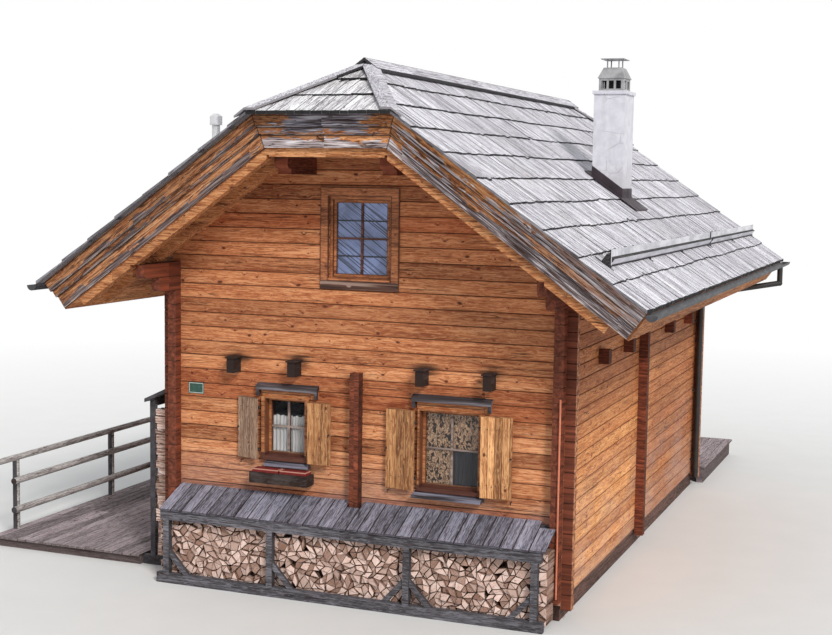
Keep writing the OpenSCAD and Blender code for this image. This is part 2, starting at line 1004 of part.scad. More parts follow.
module chimney_flashing() {
    t = 6;
    up = 150;
    color("saddlebrown")
        difference() {
            intersection() {
                translate([chimney_x - chimney_w / 2 - 90, chimney_y - chimney_l / 2 - 90, 0])
                    cube([chimney_w + 330, chimney_l + 180, ridge_h]);
                translate([0, 2000, 0])
                    rotate([90, 0, 0])
                        linear_extrude(4000)
                            polygon([
                                [0, ridge_h + cap_lift],
                                [0, ridge_h + 14],
                                [roof_half, roof_z(roof_half) + 14],
                                [roof_half, roof_z(roof_half) + cap_lift]
                            ]);
            }
            chimney_room(t);
        }
    color("saddlebrown")
        difference() {
            translate([chimney_x - chimney_w / 2 - t, chimney_y - chimney_l / 2 - t, 0])
                intersection() {
                    cube([chimney_w + 2 * t, chimney_l + 2 * t, ridge_h]);
                    translate([0, chimney_l + 2 * t, 0])
                        rotate([90, 0, 0])
                            linear_extrude(chimney_l + 2 * t)
                                polygon([
                                    [0, roof_z(chimney_x - chimney_w / 2 - t) + cap_lift],
                                    [0, roof_z(chimney_x - chimney_w / 2 - t) + up],
                                    [chimney_w + 2 * t, roof_z(chimney_x + chimney_w / 2 + t) + up],
                                    [chimney_w + 2 * t, roof_z(chimney_x + chimney_w / 2 + t) + cap_lift]
                                ]);
                }
            chimney_room(0);
        }
}

vent_x = -2270;
vent_y = -half_l + 350;
vent_r = 55;
vent_top = roof_z(vent_x) + 985;

module vent_room() {
    translate([vent_x, vent_y, 4000])
        cylinder(h = ridge_h, r = vent_r);
}

module vent_pipe() {
    z0 = roof_z(vent_x) - body_under - 60;
    color("silver") {
        translate([vent_x, vent_y, z0])
            cylinder(h = vent_top - 60 - z0, r = vent_r);
        translate([vent_x, vent_y, vent_top - 150])
            cylinder(h = 115, r = vent_r + 28);
        translate([vent_x, vent_y, vent_top - 35])
            cylinder(h = 35, r1 = vent_r + 28, r2 = 30);
    }
}

guard_x = roof_half - 575;
guard_split = 1330;
// Reach of a guard's brackets up and down the slope
guard_up = 180;
guard_down = 40;

// Depth of the boards' surface under the plane of the row edges, where a bracket rests on it
function bracket_dip(x, step) =
    floor((x + guard_down) / step) > floor((x - guard_up) / step)
        ? 0
        : row_lip * (ceil((x + guard_down) / step) - (x + guard_down) / step);

// Snow guards: on each slope two lengths of a sheet-metal fence on brackets, with a timber behind it
module snow_guards() {
    dip = bracket_dip(guard_x, roof_half / board_rows);
    color("gray")
        for (side = [0, 1])
            mirror([side, 0, 0])
                translate([guard_x, 0, roof_z(guard_x) + cap_lift - dip])
                    for (part = [[roof_front + 600, guard_split], [guard_split + 130, roof_rear - 120]])
                        translate([0, part[0], 0])
                            guard(part[1] - part[0]);
}

// One length of the fence, along Y
module guard(run) {
    bays = ceil(run / 2500);
    for (i = [0 : bays])
        translate([0, 24 + i * (run - 24) / bays, 0])
            rotate([90, 0, 0])
                linear_extrude(24) {
                    polygon([
                        [-guard_up, guard_up * roof_rise],
                        [guard_down, -guard_down * roof_rise],
                        [guard_down, 8 - guard_down * roof_rise],
                        [-guard_up, 8 + guard_up * roof_rise]
                    ]);
                    translate([0, 4]) square([12, 212]);
                }
    translate([12, run, 95])
        rotate([90, 0, 0])
            linear_extrude(run)
                square([4, 120]);
    rotate([0, pitch, 0])
        translate([-130, 0, 6])
            cube([110, run, 110]);
}

// Copper rod of the lightning conductor down the right corner
module conductor() {
    x = half_w - 20;
    y = -half_l - log_end - 22;
    color("chocolate") {
        translate([x, y, 320])
            cylinder(h = 2450, r = 12);
        for (k = [3, 9, 12])
            translate([x - 10, y, side_base + (k + 0.5) * course - 6])
                cube([20, 22, 12]);
    }
}

// Windows

sash_w = 42;
sash_y = -half_l + 62;
pane_y = -half_l + 87;
frame_back = -half_l + log_t - 20;
// Distance by which the linings of the lower windows stand out of the wall
lining_out = 55;
// Distances from an opening's edges to the glass: at the sides, above and below
gable_frame = [84, 84, 84];
left_frame = [100, 62, 108];
right_frame = [72, 62, 92];

// Timber lining from y0 to the back, with sash and glazing bars, of a window in the front wall
module window_wood(x, w, z0, z1, frame, y0) {
    pane_w = w - 2 * frame[0];
    pane_h = z1 - z0 - frame[1] - frame[2];
    difference() {
        translate([x - w / 2, y0, z0])
            cube([w, frame_back - y0, z1 - z0]);
        translate([x - pane_w / 2 - sash_w, y0 - 1, z0 + frame[2] - sash_w])
            cube([pane_w + 2 * sash_w, sash_y - y0 + 1, pane_h + 2 * sash_w]);
        translate([x - pane_w / 2, y0 - 1, z0 + frame[2]])
            cube([pane_w, 400, pane_h]);
    }
    translate([x - 14, pane_y - 22, z0 + frame[2]])
        cube([28, 22, pane_h]);
    translate([x - pane_w / 2, pane_y - 22, z0 + frame[2] + pane_h / 2 - 12])
        cube([pane_w, 22, 24]);
}

module glass_sheet(x, w, z0, z1, frame) {
    translate([x - w / 2 + frame[0], pane_y, z0 + frame[2]])
        cube([w - 2 * frame[0], 6, z1 - z0 - frame[1] - frame[2]]);
}

// Hood over a window: a sloping board on two returns, and the head board between them
module hood(x, w, z) {
    drop = z - window_top - 8;
    translate([x - w / 2, -half_l, z])
        rotate([90, 0, 90])
            linear_extrude(w)
                polygon([[0, 0], [-75, -30], [-75, 25], [0, 60]]);
    for (side = [-1, 1])
        translate([x + side * (w / 2 - 24) - 18, -half_l - 62, z - drop])
            cube([36, 62, drop - 14]);
    translate([x - w / 2 + 60, -half_l - 20, window_top])
        cube([w - 120, 20, z - window_top]);
}

module sill(x, w, z, out) {
    translate([x - w / 2, -half_l, z])
        rotate([90, 0, 90])
            linear_extrude(w)
                polygon([[0, 0], [-out, -40], [-out, -70], [0, -70]]);
}

module gable_window() {
    trim = 112;
    color("peru") {
        window_wood(0, gable_window_w, gable_window_z, gable_window_top, gable_frame, -half_l + 35);
        translate([0, -half_l - 24, gable_window_z])
            difference() {
                translate([-gable_window_w / 2 - trim, 0, -trim])
                    cube([gable_window_w + 2 * trim, 24, gable_window_top - gable_window_z + 2 * trim]);
                translate([-gable_window_w / 2, -1, 0])
                    cube([gable_window_w, 30, gable_window_top - gable_window_z]);
            }
        translate([-gable_window_w / 2, -half_l - 40, gable_window_z])
            cube([gable_window_w, 75, 24]);
    }
}

hood_z = window_top + 120;

module left_window() {
    color("peru") {
        window_wood(left_window_x, left_window_w, left_window_z, window_top, left_frame, -half_l - lining_out);
        hood(left_window_x + 25, left_window_w + 195, hood_z);
        sill(left_window_x + 30, left_window_w - 60, left_window_z, 100);
        for (side = [-1, 1])
            pintles(left_window_x + side * left_hinge, shutter_z(left_window_z), left_h);
    }
}

module right_window() {
    color("peru") {
        window_wood(right_window_x, right_window_w, right_window_z, window_top, right_frame, -half_l - lining_out);
        hood(right_window_x + 25, right_window_w + 215, hood_z);
        sill(right_window_x, right_window_w + 80, right_window_z, 150);
        for (side = [-1, 1])
            pintles(right_window_x + side * right_hinge, shutter_z(right_window_z), right_h);
    }
}

module window_glass() {
    color("lightblue") {
        glass_sheet(0, gable_window_w, gable_window_z, gable_window_top, gable_frame);
        glass_sheet(left_window_x, left_window_w, left_window_z, window_top, left_frame);
        glass_sheet(right_window_x, right_window_w, right_window_z, window_top, right_frame);
        mirror([0, 1, 0])
            glass_sheet(0, gable_window_w, gable_window_z, gable_window_top, gable_frame);
    }
}

// Half-height curtains on the inner side of the lower windows
module curtains() {
    y = frame_back + 0.3;
    color("white") {
        translate([left_window_x - left_window_w / 2 + 60, y, left_window_z + 80])
            cube([left_window_w - 120, 8, 580]);
        translate([right_window_x - right_window_w / 2 + 60, y, right_window_z + 80])
            cube([right_window_w - 120, 8, 560]);
    }
}

// Height of the two hinges above the shutter's lower edge
function hinge_z(h) = [h * 0.16, h * 0.84];

// Boarded shutter folded open to the right of its hinge line, which is at x = 0 and y = 0
module shutter(w, h) {
    difference() {
        union() {
            translate([12, -3 - shutter_t, 0])
                cube([w - 12, shutter_t, h]);
            for (z = hinge_z(h)) {
                translate([26, -3, z - 35])
                    cube([w - 50, ledge_t, 70]);
                translate([0, -3, z - 18])
                    cube([40, 6, 36]);
                translate([0, 0, z - 25])
                    cylinder(h = 50, r = knuckle_r);
            }
        }
        for (z = hinge_z(h))
            translate([0, 0, z - 26])
                cylinder(h = 52, r = pin_r + pin_play);
    }
}

// Pins in the wall that carry one shutter
module pintles(x, z, h) {
    for (hz = hinge_z(h)) {
        translate([x, hinge_y, z + hz - 40])
            cylinder(h = 68, r = pin_r);
        translate([x - 7, hinge_y, z + hz - 42])
            cube([14, -half_l - hinge_y, 12]);
    }
}

// Open shutter on its pins; dir is 1 to the right of a window, and lean turns it back to the wall
module hung_shutter(x, z, w, h, dir, lean) {
    translate([x, hinge_y, z])
        rotate([0, 0, dir * lean])
            mirror([dir < 0 ? 1 : 0, 0, 0])
                shutter(w, h);
}

module left_shutter_a() {
    color("goldenrod")
        hung_shutter(left_window_x - left_hinge, shutter_z(left_window_z), left_hinge - 6, left_h, -1, lean_left_a);
}

module left_shutter_b() {
    color("goldenrod")
        hung_shutter(left_window_x + left_hinge, shutter_z(left_window_z), left_hinge - 6, left_h, 1, 0);
}

module right_shutter_a() {
    color("goldenrod")
        hung_shutter(right_window_x - right_hinge, shutter_z(right_window_z), right_hinge - 6, right_h, -1, lean_right_a);
}

module right_shutter_b() {
    color("goldenrod")
        hung_shutter(right_window_x + right_hinge, shutter_z(right_window_z), right_hinge - 6, right_h, 1, lean_right_b);
}

// Wooden flower box under the left window, on two brackets, with two planters in it
module flower_box() {
    w = 830;
    h = 140;
    x = left_window_x;
    z = left_window_z - 272;
    color("saddlebrown") {
        difference() {
            translate([x - w / 2, -half_l - 250, z])
                cube([w, 220, h]);
            translate([x - w / 2 + 22, -half_l - 228, z + 22])
                cube([w - 44, 176, h]);
        }
        for (side = [-1, 1])
            translate([x + side * w / 4 - 15, -half_l - 30, z + 30])
                cube([30, 30, 80]);
    }
    color("darkred")
        for (side = [-1, 1])
            translate([x + (side > 0 ? 12 : 12 - w / 2 + 16), -half_l - 220, z + 22])
                cube([w / 2 - 40, 160, h + 22]);
}

module number_plate() {
    color("seagreen")
        translate([-half_w + 245, -half_l - 6, 2470])
            cube([230, 6, 150]);
}

// Front wood store

store_x0 = -half_w + 130;
store_x1 = half_w - 40;
post_x = [store_x0 + 85, -990, 900, store_x1 - 145];
post_w = 85;
store_t = 24;
store_out = log_end + store_d - 20;
store_lip = 35;
store_beam_h = 140;
store_y = -half_l - store_out + store_lip;
store_beam_z = store_h - store_t - (store_out - store_lip) * store_fall / store_out;

module store_frame() {
    color("slategray") {
        translate([store_x0 - 60, store_y, 0])
            cube([store_x1 - store_x0 + 30, post_w, 130]);
        for (x = post_x)
            translate([x - post_w / 2, store_y, 130])
                cube([post_w, post_w, store_beam_z - store_beam_h - 130]);
        translate([store_x0, store_y, store_beam_z - store_beam_h])
            cube([store_x1 - store_x0 - 60, post_w, store_beam_h]);
        brace(post_x[0], 1, store_y);
        brace(post_x[1], 1, store_y);
        brace(post_x[2], -1, store_y);
        brace(post_x[2], 1, store_y);
        brace(post_x[3], -1, store_y);
        for (x = [store_x0 + 100, 75])
            translate([x, -half_l - 45, store_h - 115])
                cube([(x < 0 ? -75 : store_x1 - 100) - x, 45, 70]);
        for (x = [store_x0 + 40, post_x[1], post_x[2], store_x1 - 130])
            translate([x - 30, store_y + post_w, 0])
                cube([60, -half_l - log_end - store_y - post_w, 60]);
    }
}

// Slanting strut from a post down to the sill
module brace(x, dir, y) {
    translate([x + dir * post_w / 2, y + 20, 0])
        mirror([dir < 0 ? 1 : 0, 0, 0])
            rotate([90, 0, 0])
                translate([0, 0, -45])
                    linear_extrude(45)
                        polygon([[0, 460], [300, 130], [210, 130], [0, 355]]);
}

module store_roof() {
    color("slategray")
        difference() {
            translate([store_x0, -half_l, store_h])
                rotate([90, 0, 90])
                    linear_extrude(store_x1 - store_x0)
                        polygon([[0, 0], [-store_out, -store_fall], [-store_out, -store_fall - store_t], [0, -store_t]]);
            for (x = [-log_t / 2 - 5, inner_w - 5])
                translate([x, -half_l - log_end - 5, store_h - 200])
                    cube([log_t + 10, log_end + 20, 300]);
        }
}

module store_firewood() {
    y = store_y + post_w + 8;
    d = -half_l - log_end - 12 - y;
    ends = [store_x0 - 60, post_x[1], post_x[2], store_x1];
    color("wheat")
        for (i = [0 : 2])
            translate([ends[i] + 4, y, 60])
                cube([ends[i + 1] - ends[i] - 8, d, store_beam_z - 110]);
}

// Left side store

side_x = -half_w - side_store_d;
side_y0 = -half_l + log_t + 10;
side_y1 = side_y0 + side_store_l;
side_edge = side_x - 40;
side_low = side_store_h - 230;
side_high = side_store_h;
deck_in = 110 - side_x;
deck_out = deck_in + deck_w;

// Underside of the side store's roof
function side_z(x) = side_low + (x - side_edge) * (side_high - side_low) / (-half_w - side_edge);

// Slab along Y between two heights above the roof's underside
module side_slab(x0, x1, y0, y1, z0, z1) {
    translate([0, y1, 0])
        rotate([90, 0, 0])
            linear_extrude(y1 - y0)
                polygon([[x0, z0], [x1, z1], [x1, side_z(x1)], [x0, side_z(x0)]]);
}

module side_store() {
    mid = (side_y0 + side_y1) / 2;
    color("dimgray") {
        for (y = [side_y0, mid, side_y1])
            translate([side_x, y, 0])
                cube([75, 75, side_low - 60]);
        side_slab(side_x, side_x + 75, side_y0, side_y1 + 75, side_low - 60, side_low - 60);
        difference() {
            side_slab(side_edge, -half_w, side_y0 - 80, side_y1 + 135, side_low + 50, side_high + 50);
            translate([-half_w - log_end - 5, -half_l - 200, side_low - 100])
                cube([log_end + 10, 200 + log_t + 5, 500]);
        }
        for (y = [side_y0, mid, side_y1])
            translate([-deck_in, y, 0])
                cube([-half_w + deck_in, 60, 130]);
    }
}

module side_firewood() {
    color("tan")
        translate([side_x + 85, side_y0 + 10, 130])
            cube([-half_w - side_x - 95, side_y1 - side_y0 - 20, side_low - 95 - 130]);
}

// Deck

module deck() {
    t = 32;
    color("rosybrown") {
        translate([-deck_out, -half_l + 20, deck_h - t])
            cube([deck_out - deck_in, deck_l, t]);
        for (i = [0 : 4])
            translate([-deck_out + 20, -half_l + 60 + i * (deck_l - 200) / 4, 40])
                cube([deck_out - deck_in - 40, 100, deck_h - t - 40]);
        for (x = [-deck_out + 60, -(deck_out + deck_in) / 2, -deck_in - 160])
            translate([x, -half_l + 40, 0])
                cube([100, deck_l - 60, 40]);
    }
}

module railing() {
    r = 45;
    x = -deck_out + 60;
    posts = [for (i = [0 : 2]) 520 + i * (deck_l - 600) / 2];
    color("gray") {
        for (y = posts)
            translate([x, -half_l + y, deck_h])
                cylinder(h = rail_h - 30, r = 50);
        translate([x, -half_l - 60, deck_h + rail_h])
            rotate([-90, 0, 0])
                cylinder(h = deck_l + 100, r = r);
        for (z = [rail_h - 320, rail_h - 750])
            translate([x + 80, -half_l + 360, deck_h + z])
                rotate([-90, 0, 0])
                    cylinder(h = deck_l - 320, r = 48);
    }
}

module rear_door() {
    color("peru") {
        translate([-door_w / 2, inner_l + 30, door_z])
            cube([door_w, 60, door_h]);
        mirror([0, 1, 0])
            window_wood(0, gable_window_w, gable_window_z, gable_window_top, gable_frame, -half_l + 35);
        translate([-door_w / 2 - 100, half_l, door_z])
            difference() {
                cube([door_w + 200, 24, door_h + 100]);
                translate([100, -1, -1]) cube([door_w, 30, door_h]);
            }
    }
}

module rear_platform() {
    t = 32;
    x0 = half_w + 220 - platform_w;
    y0 = half_l + log_end + 20;
    color("gray") {
        translate([x0, y0, platform_h - t])
            cube([platform_w, platform_l, t]);
        for (i = [0 : 3])
            translate([x0 + 50 + i * (platform_w - 220) / 3, y0 + 20, 0])
                cube([120, platform_l - 40, platform_h - t]);
        translate([-door_w / 2, half_l, platform_h - 80])
            cube([door_w, log_end + 20, 80]);
    }
}

plinth();
ground_floor();
front_wall();
rear_wall();
right_wall();
left_wall();
cross_wall_ends();
long_joists();
cross_joists();
upper_floor();
middle_purlins();
rafters();
roof_body_right();
roof_body_left();
roof_body_hips();
roof_boards_right();
roof_boards_left();
hip_boards();
roof_caps();
barge_boards_front();
barge_boards_rear();
eave_boards();
gutters();
downpipe();
chimney();
chimney_cowl();
chimney_flashing();
vent_pipe();
snow_guards();
conductor();
gable_window();
left_window();
right_window();
window_glass();
curtains();
left_shutter_a();
left_shutter_b();
right_shutter_a();
right_shutter_b();
flower_box();
number_plate();
store_frame();
store_roof();
store_firewood();
side_store();
side_firewood();
deck();
railing();
rear_door();
rear_platform();
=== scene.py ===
"""Looks of the alpine log chalet: its boards, wood, metal and glass, built round the CAD frame."""

import math
import random

import bmesh
import bpy
from bpy.props import FloatProperty, FloatVectorProperty, IntProperty, PointerProperty
from mathutils import Matrix, Vector
from mathutils.geometry import delaunay_2d_cdt


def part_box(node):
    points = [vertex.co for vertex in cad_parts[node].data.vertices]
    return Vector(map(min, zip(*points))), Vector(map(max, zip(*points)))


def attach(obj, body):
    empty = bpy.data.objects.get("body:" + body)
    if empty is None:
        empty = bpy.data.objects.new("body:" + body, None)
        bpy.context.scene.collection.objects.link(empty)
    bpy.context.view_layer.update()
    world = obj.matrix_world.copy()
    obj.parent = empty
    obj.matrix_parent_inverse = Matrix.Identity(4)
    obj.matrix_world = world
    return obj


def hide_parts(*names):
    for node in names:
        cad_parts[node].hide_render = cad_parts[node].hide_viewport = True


bl_info = {
    "name": "Alpine Log Chalet",
    "version": (1, 0, 0),
    "blender": (4, 5, 0),
    "location": "3D View > Sidebar > Chalet",
    "description": "Dresses the CAD frame of a log chalet with boards, firewood, metal and glass",
    "category": "Object",
}

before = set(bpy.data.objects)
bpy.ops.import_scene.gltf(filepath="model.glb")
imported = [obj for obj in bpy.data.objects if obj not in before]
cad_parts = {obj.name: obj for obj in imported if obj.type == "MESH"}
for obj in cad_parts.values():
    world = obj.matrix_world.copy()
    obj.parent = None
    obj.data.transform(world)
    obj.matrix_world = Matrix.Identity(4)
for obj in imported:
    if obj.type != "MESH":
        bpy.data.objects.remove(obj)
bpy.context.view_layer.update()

X, Y, Z = Vector((1, 0, 0)), Vector((0, 1, 0)), Vector((0, 0, 1))


def length(name, description, default, low=0.0, high=10.0):
    """A length that the user may change, in metres."""
    limits = {"min": low, "max": high, "unit": "LENGTH"}
    return FloatProperty(name=name, description=description, default=default, **limits)


def tint(name, description, default):
    """A colour that the user may change."""
    return FloatVectorProperty(
        name=name, description=description, default=default, min=0.0, max=1.0, size=3, subtype="COLOR"
    )


def bearing(name, description, default):
    """An angle that the user may change, its default given in degrees."""
    return FloatProperty(name=name, description=description, default=math.radians(default), unit="ROTATION")


def amount(name, description, default, low, high):
    """A plain number that the user may change."""
    return FloatProperty(name=name, description=description, default=default, min=low, max=high)


# Settings


class ChaletWoodSettings(bpy.types.PropertyGroup):
    """Colours of the chalet's timber and the height of its log courses."""

    course: length("Log Course", "Height of one course of logs", 0.19, 0.1, 0.4)
    front_base: length("Front Base", "Height of the first joint of the front and rear walls", 0.15)
    side_base: length("Side Base", "Height of the first joint of the side walls", 0.245)
    log_light: tint("Log Light", "Pale parts of the front wall's logs", (0.74, 0.35, 0.165))
    log_mid: tint("Log Middle", "Main colour of the front wall's logs", (0.53, 0.195, 0.076))
    log_dark: tint("Log Dark", "Dark streaks of the front wall's logs", (0.3, 0.082, 0.03))
    side_light: tint("Side Light", "Pale parts of the side walls' logs", (0.92, 0.47, 0.18))
    side_mid: tint("Side Middle", "Main colour of the side walls' logs", (0.68, 0.28, 0.092))
    side_dark: tint("Side Dark", "Dark streaks of the side walls' logs", (0.38, 0.115, 0.034))
    log_end: tint("Log Ends", "Stained ends of the logs and the cross wall", (0.15, 0.038, 0.018))
    grey: tint("Weathered Grey", "Timber that the weather has bleached", (0.42, 0.36, 0.35))
    knot: tint("Knots", "Knots in the timber", (0.11, 0.032, 0.014))
    crack: tint("Cracks", "Drying cracks and open joints", (0.028, 0.013, 0.008))


class ChaletRoofSettings(bpy.types.PropertyGroup):
    """Rows, widths and colours of the roof boards."""

    rows: IntProperty(name="Rows", description="Rows of boards on a main slope", default=10, min=4, max=16)
    hip_rows: IntProperty(name="Hip Rows", description="Rows on a half hip", default=3, min=2, max=6)
    butt: length("Butt", "Thickness of the boarding, measured upright", 0.04, 0.02, 0.1)
    lip: length("Lip", "Step from one row down to the next", 0.022, 0.01, 0.05)
    gap: length("Gap", "Gap between two boards", 0.007, 0.001, 0.03)
    narrow: length("Narrowest Board", "Width of the narrowest roof board", 0.085, 0.04, 0.3)
    wide: length("Widest Board", "Width of the widest roof board", 0.165, 0.05, 0.4)
    hip_run_front: length("Front Hip", "Horizontal run of the front half hip", 1.55)
    hip_run_rear: length("Rear Hip", "Horizontal run of the rear half hip", 1.0)
    silver_light: tint("Silver Light", "Bleached roof boards", (1.0, 0.985, 1.0))
    silver_mid: tint("Silver Middle", "Main colour of the roof boards", (0.9, 0.88, 0.97))
    silver_dark: tint("Silver Dark", "Damp streaks of the roof boards", (0.27, 0.24, 0.27))
    honey_light: tint("Honey Light", "Pale parts of the barge boards and rafters", (0.76, 0.38, 0.17))
    honey_mid: tint("Honey Middle", "Main colour of the barge boards and rafters", (0.5, 0.185, 0.064))
    honey_dark: tint("Honey Dark", "Dark streaks of the barge boards and rafters", (0.19, 0.055, 0.022))
    zinc: tint("Zinc", "Weathered zinc of the gutters, snow guards and cowl", (0.4, 0.4, 0.41))


class ChaletWindowSettings(bpy.types.PropertyGroup):
    """Sizes and colours of the windows, shutters and curtains."""

    hinge_y: length("Hinge Line", "Distance of the shutter hinges before the middle of the house", 4.405)
    leaf_start: length("Leaf Start", "Distance from a hinge to the edge of its shutter", 0.012)
    leaf_t: length("Leaf Thickness", "Thickness of a shutter", 0.028)
    leaf_back: length("Leaf Back", "Distance from a hinge to the wall side of its open shutter", 0.003)
    board_gap: length("Board Gap", "Joint between two shutter boards", 0.006)
    shutter_light: tint("Shutter Light", "Pale parts of the shutters", (0.8, 0.44, 0.2))
    shutter_mid: tint("Shutter Middle", "Main colour of the shutters", (0.55, 0.25, 0.1))
    shutter_dark: tint("Shutter Dark", "Dark streaks of the shutters", (0.27, 0.1, 0.04))
    # the Glass colour is the painted sky reflection on the gable's window glass
    glass: tint("Glass", "Sky on the gable's window glass", (0.22, 0.28, 0.5))
    dark_glass: tint("Dark Glass", "Unlit window glass", (0.012, 0.012, 0.016))
    curtain: tint("Curtain", "Cotton of the café curtains", (0.8, 0.79, 0.78))
    box_red: tint("Planter", "Planters in the flower box", (0.16, 0.02, 0.018))


class ChaletStoreSettings(bpy.types.PropertyGroup):
    """Sizes and colours of the wood stores, the firewood and the deck."""

    split: length("Split Log", "Usual size of a split log's end", 0.094, 0.05, 0.3)
    roof_board: length("Store Board", "Usual width of a board of the store's roof", 0.175, 0.08, 0.3)
    deck_board: length("Deck Board", "Width of a deck board", 0.14, 0.08, 0.3)
    slate_light: tint("Slate Light", "Pale parts of the front store's boards", (0.36, 0.35, 0.43))
    slate_mid: tint("Slate Middle", "Main colour of the front store's boards", (0.19, 0.185, 0.235))
    slate_dark: tint("Slate Dark", "Dark streaks of the front store's boards", (0.055, 0.05, 0.062))
    frame_light: tint("Frame Light", "Pale parts of the store's posts and railing", (0.21, 0.2, 0.225))
    frame_mid: tint("Frame Middle", "Main colour of the store's posts", (0.085, 0.08, 0.09))
    frame_dark: tint("Frame Dark", "Dark streaks of the store's posts", (0.03, 0.025, 0.028))
    wood_light: tint("Firewood Light", "Freshly split ends", (0.93, 0.74, 0.67))
    wood_mid: tint("Firewood Middle", "Main colour of the split ends", (0.76, 0.52, 0.43))
    wood_dark: tint("Firewood Dark", "Browned ends and bark", (0.2, 0.09, 0.05))
    deck_light: tint("Deck Light", "Pale parts of the deck", (0.44, 0.37, 0.39))
    deck_mid: tint("Deck Middle", "Main colour of the deck", (0.29, 0.235, 0.245))
    deck_dark: tint("Deck Dark", "Dark streaks of the deck", (0.09, 0.07, 0.07))


class ChaletStageSettings(bpy.types.PropertyGroup):
    """Camera and studio light."""

    lens: amount("Lens", "Focal length on a 36 mm wide sensor", 60.691, 20, 200)
    camera_place: FloatVectorProperty(
        name="Camera Place", description="Where the camera stands",
        default=(7.1844, -20.5152, 5.3865), subtype="XYZ", unit="LENGTH",
    )
    azimuth: bearing("Azimuth", "Turn of the camera to the left", 21.5614)
    fall: bearing("Fall", "How far the camera looks down", 5.6952)
    roll: bearing("Roll", "Roll of the camera", 0.8224)
    sun: amount("Key Light", "Strength of the soft key light", 2.45, 0, 10)
    sky: amount("Fill Light", "Strength of the even fill light", 0.66, 0, 3)
    floor: tint("Floor", "Studio floor", (0.76, 0.76, 0.75))


def settings(group):
    """One of the chalet's groups of settings."""
    return getattr(bpy.context.scene, "chalet_" + group)


def tones(group, name):
    """The light, middle and dark tone of one kind of timber."""
    return [getattr(settings(group), name + part) for part in ("_light", "_mid", "_dark")]


def times(colour, factor):
    """A colour made darker or lighter."""
    return tuple(min(1.0, c * factor) for c in colour)


# Shading


class Value:
    """One output of a node, which can be used in sums."""

    def __init__(self, finish, socket):
        self.finish, self.socket = finish, socket

    def __add__(self, other):
        return self.finish.math("ADD", self, other)

    def __sub__(self, other):
        return self.finish.math("SUBTRACT", self, other)

    def __rsub__(self, other):
        return self.finish.math("SUBTRACT", other, self)

    def __mul__(self, other):
        return self.finish.math("MULTIPLY", self, other)

    def __truediv__(self, other):
        return self.finish.math("DIVIDE", self, other)

    def __lt__(self, other):
        return self.finish.math("LESS_THAN", self, other)

    def __gt__(self, other):
        return self.finish.math("GREATER_THAN", self, other)

    def __abs__(self):
        return self.finish.math("ABSOLUTE", self)


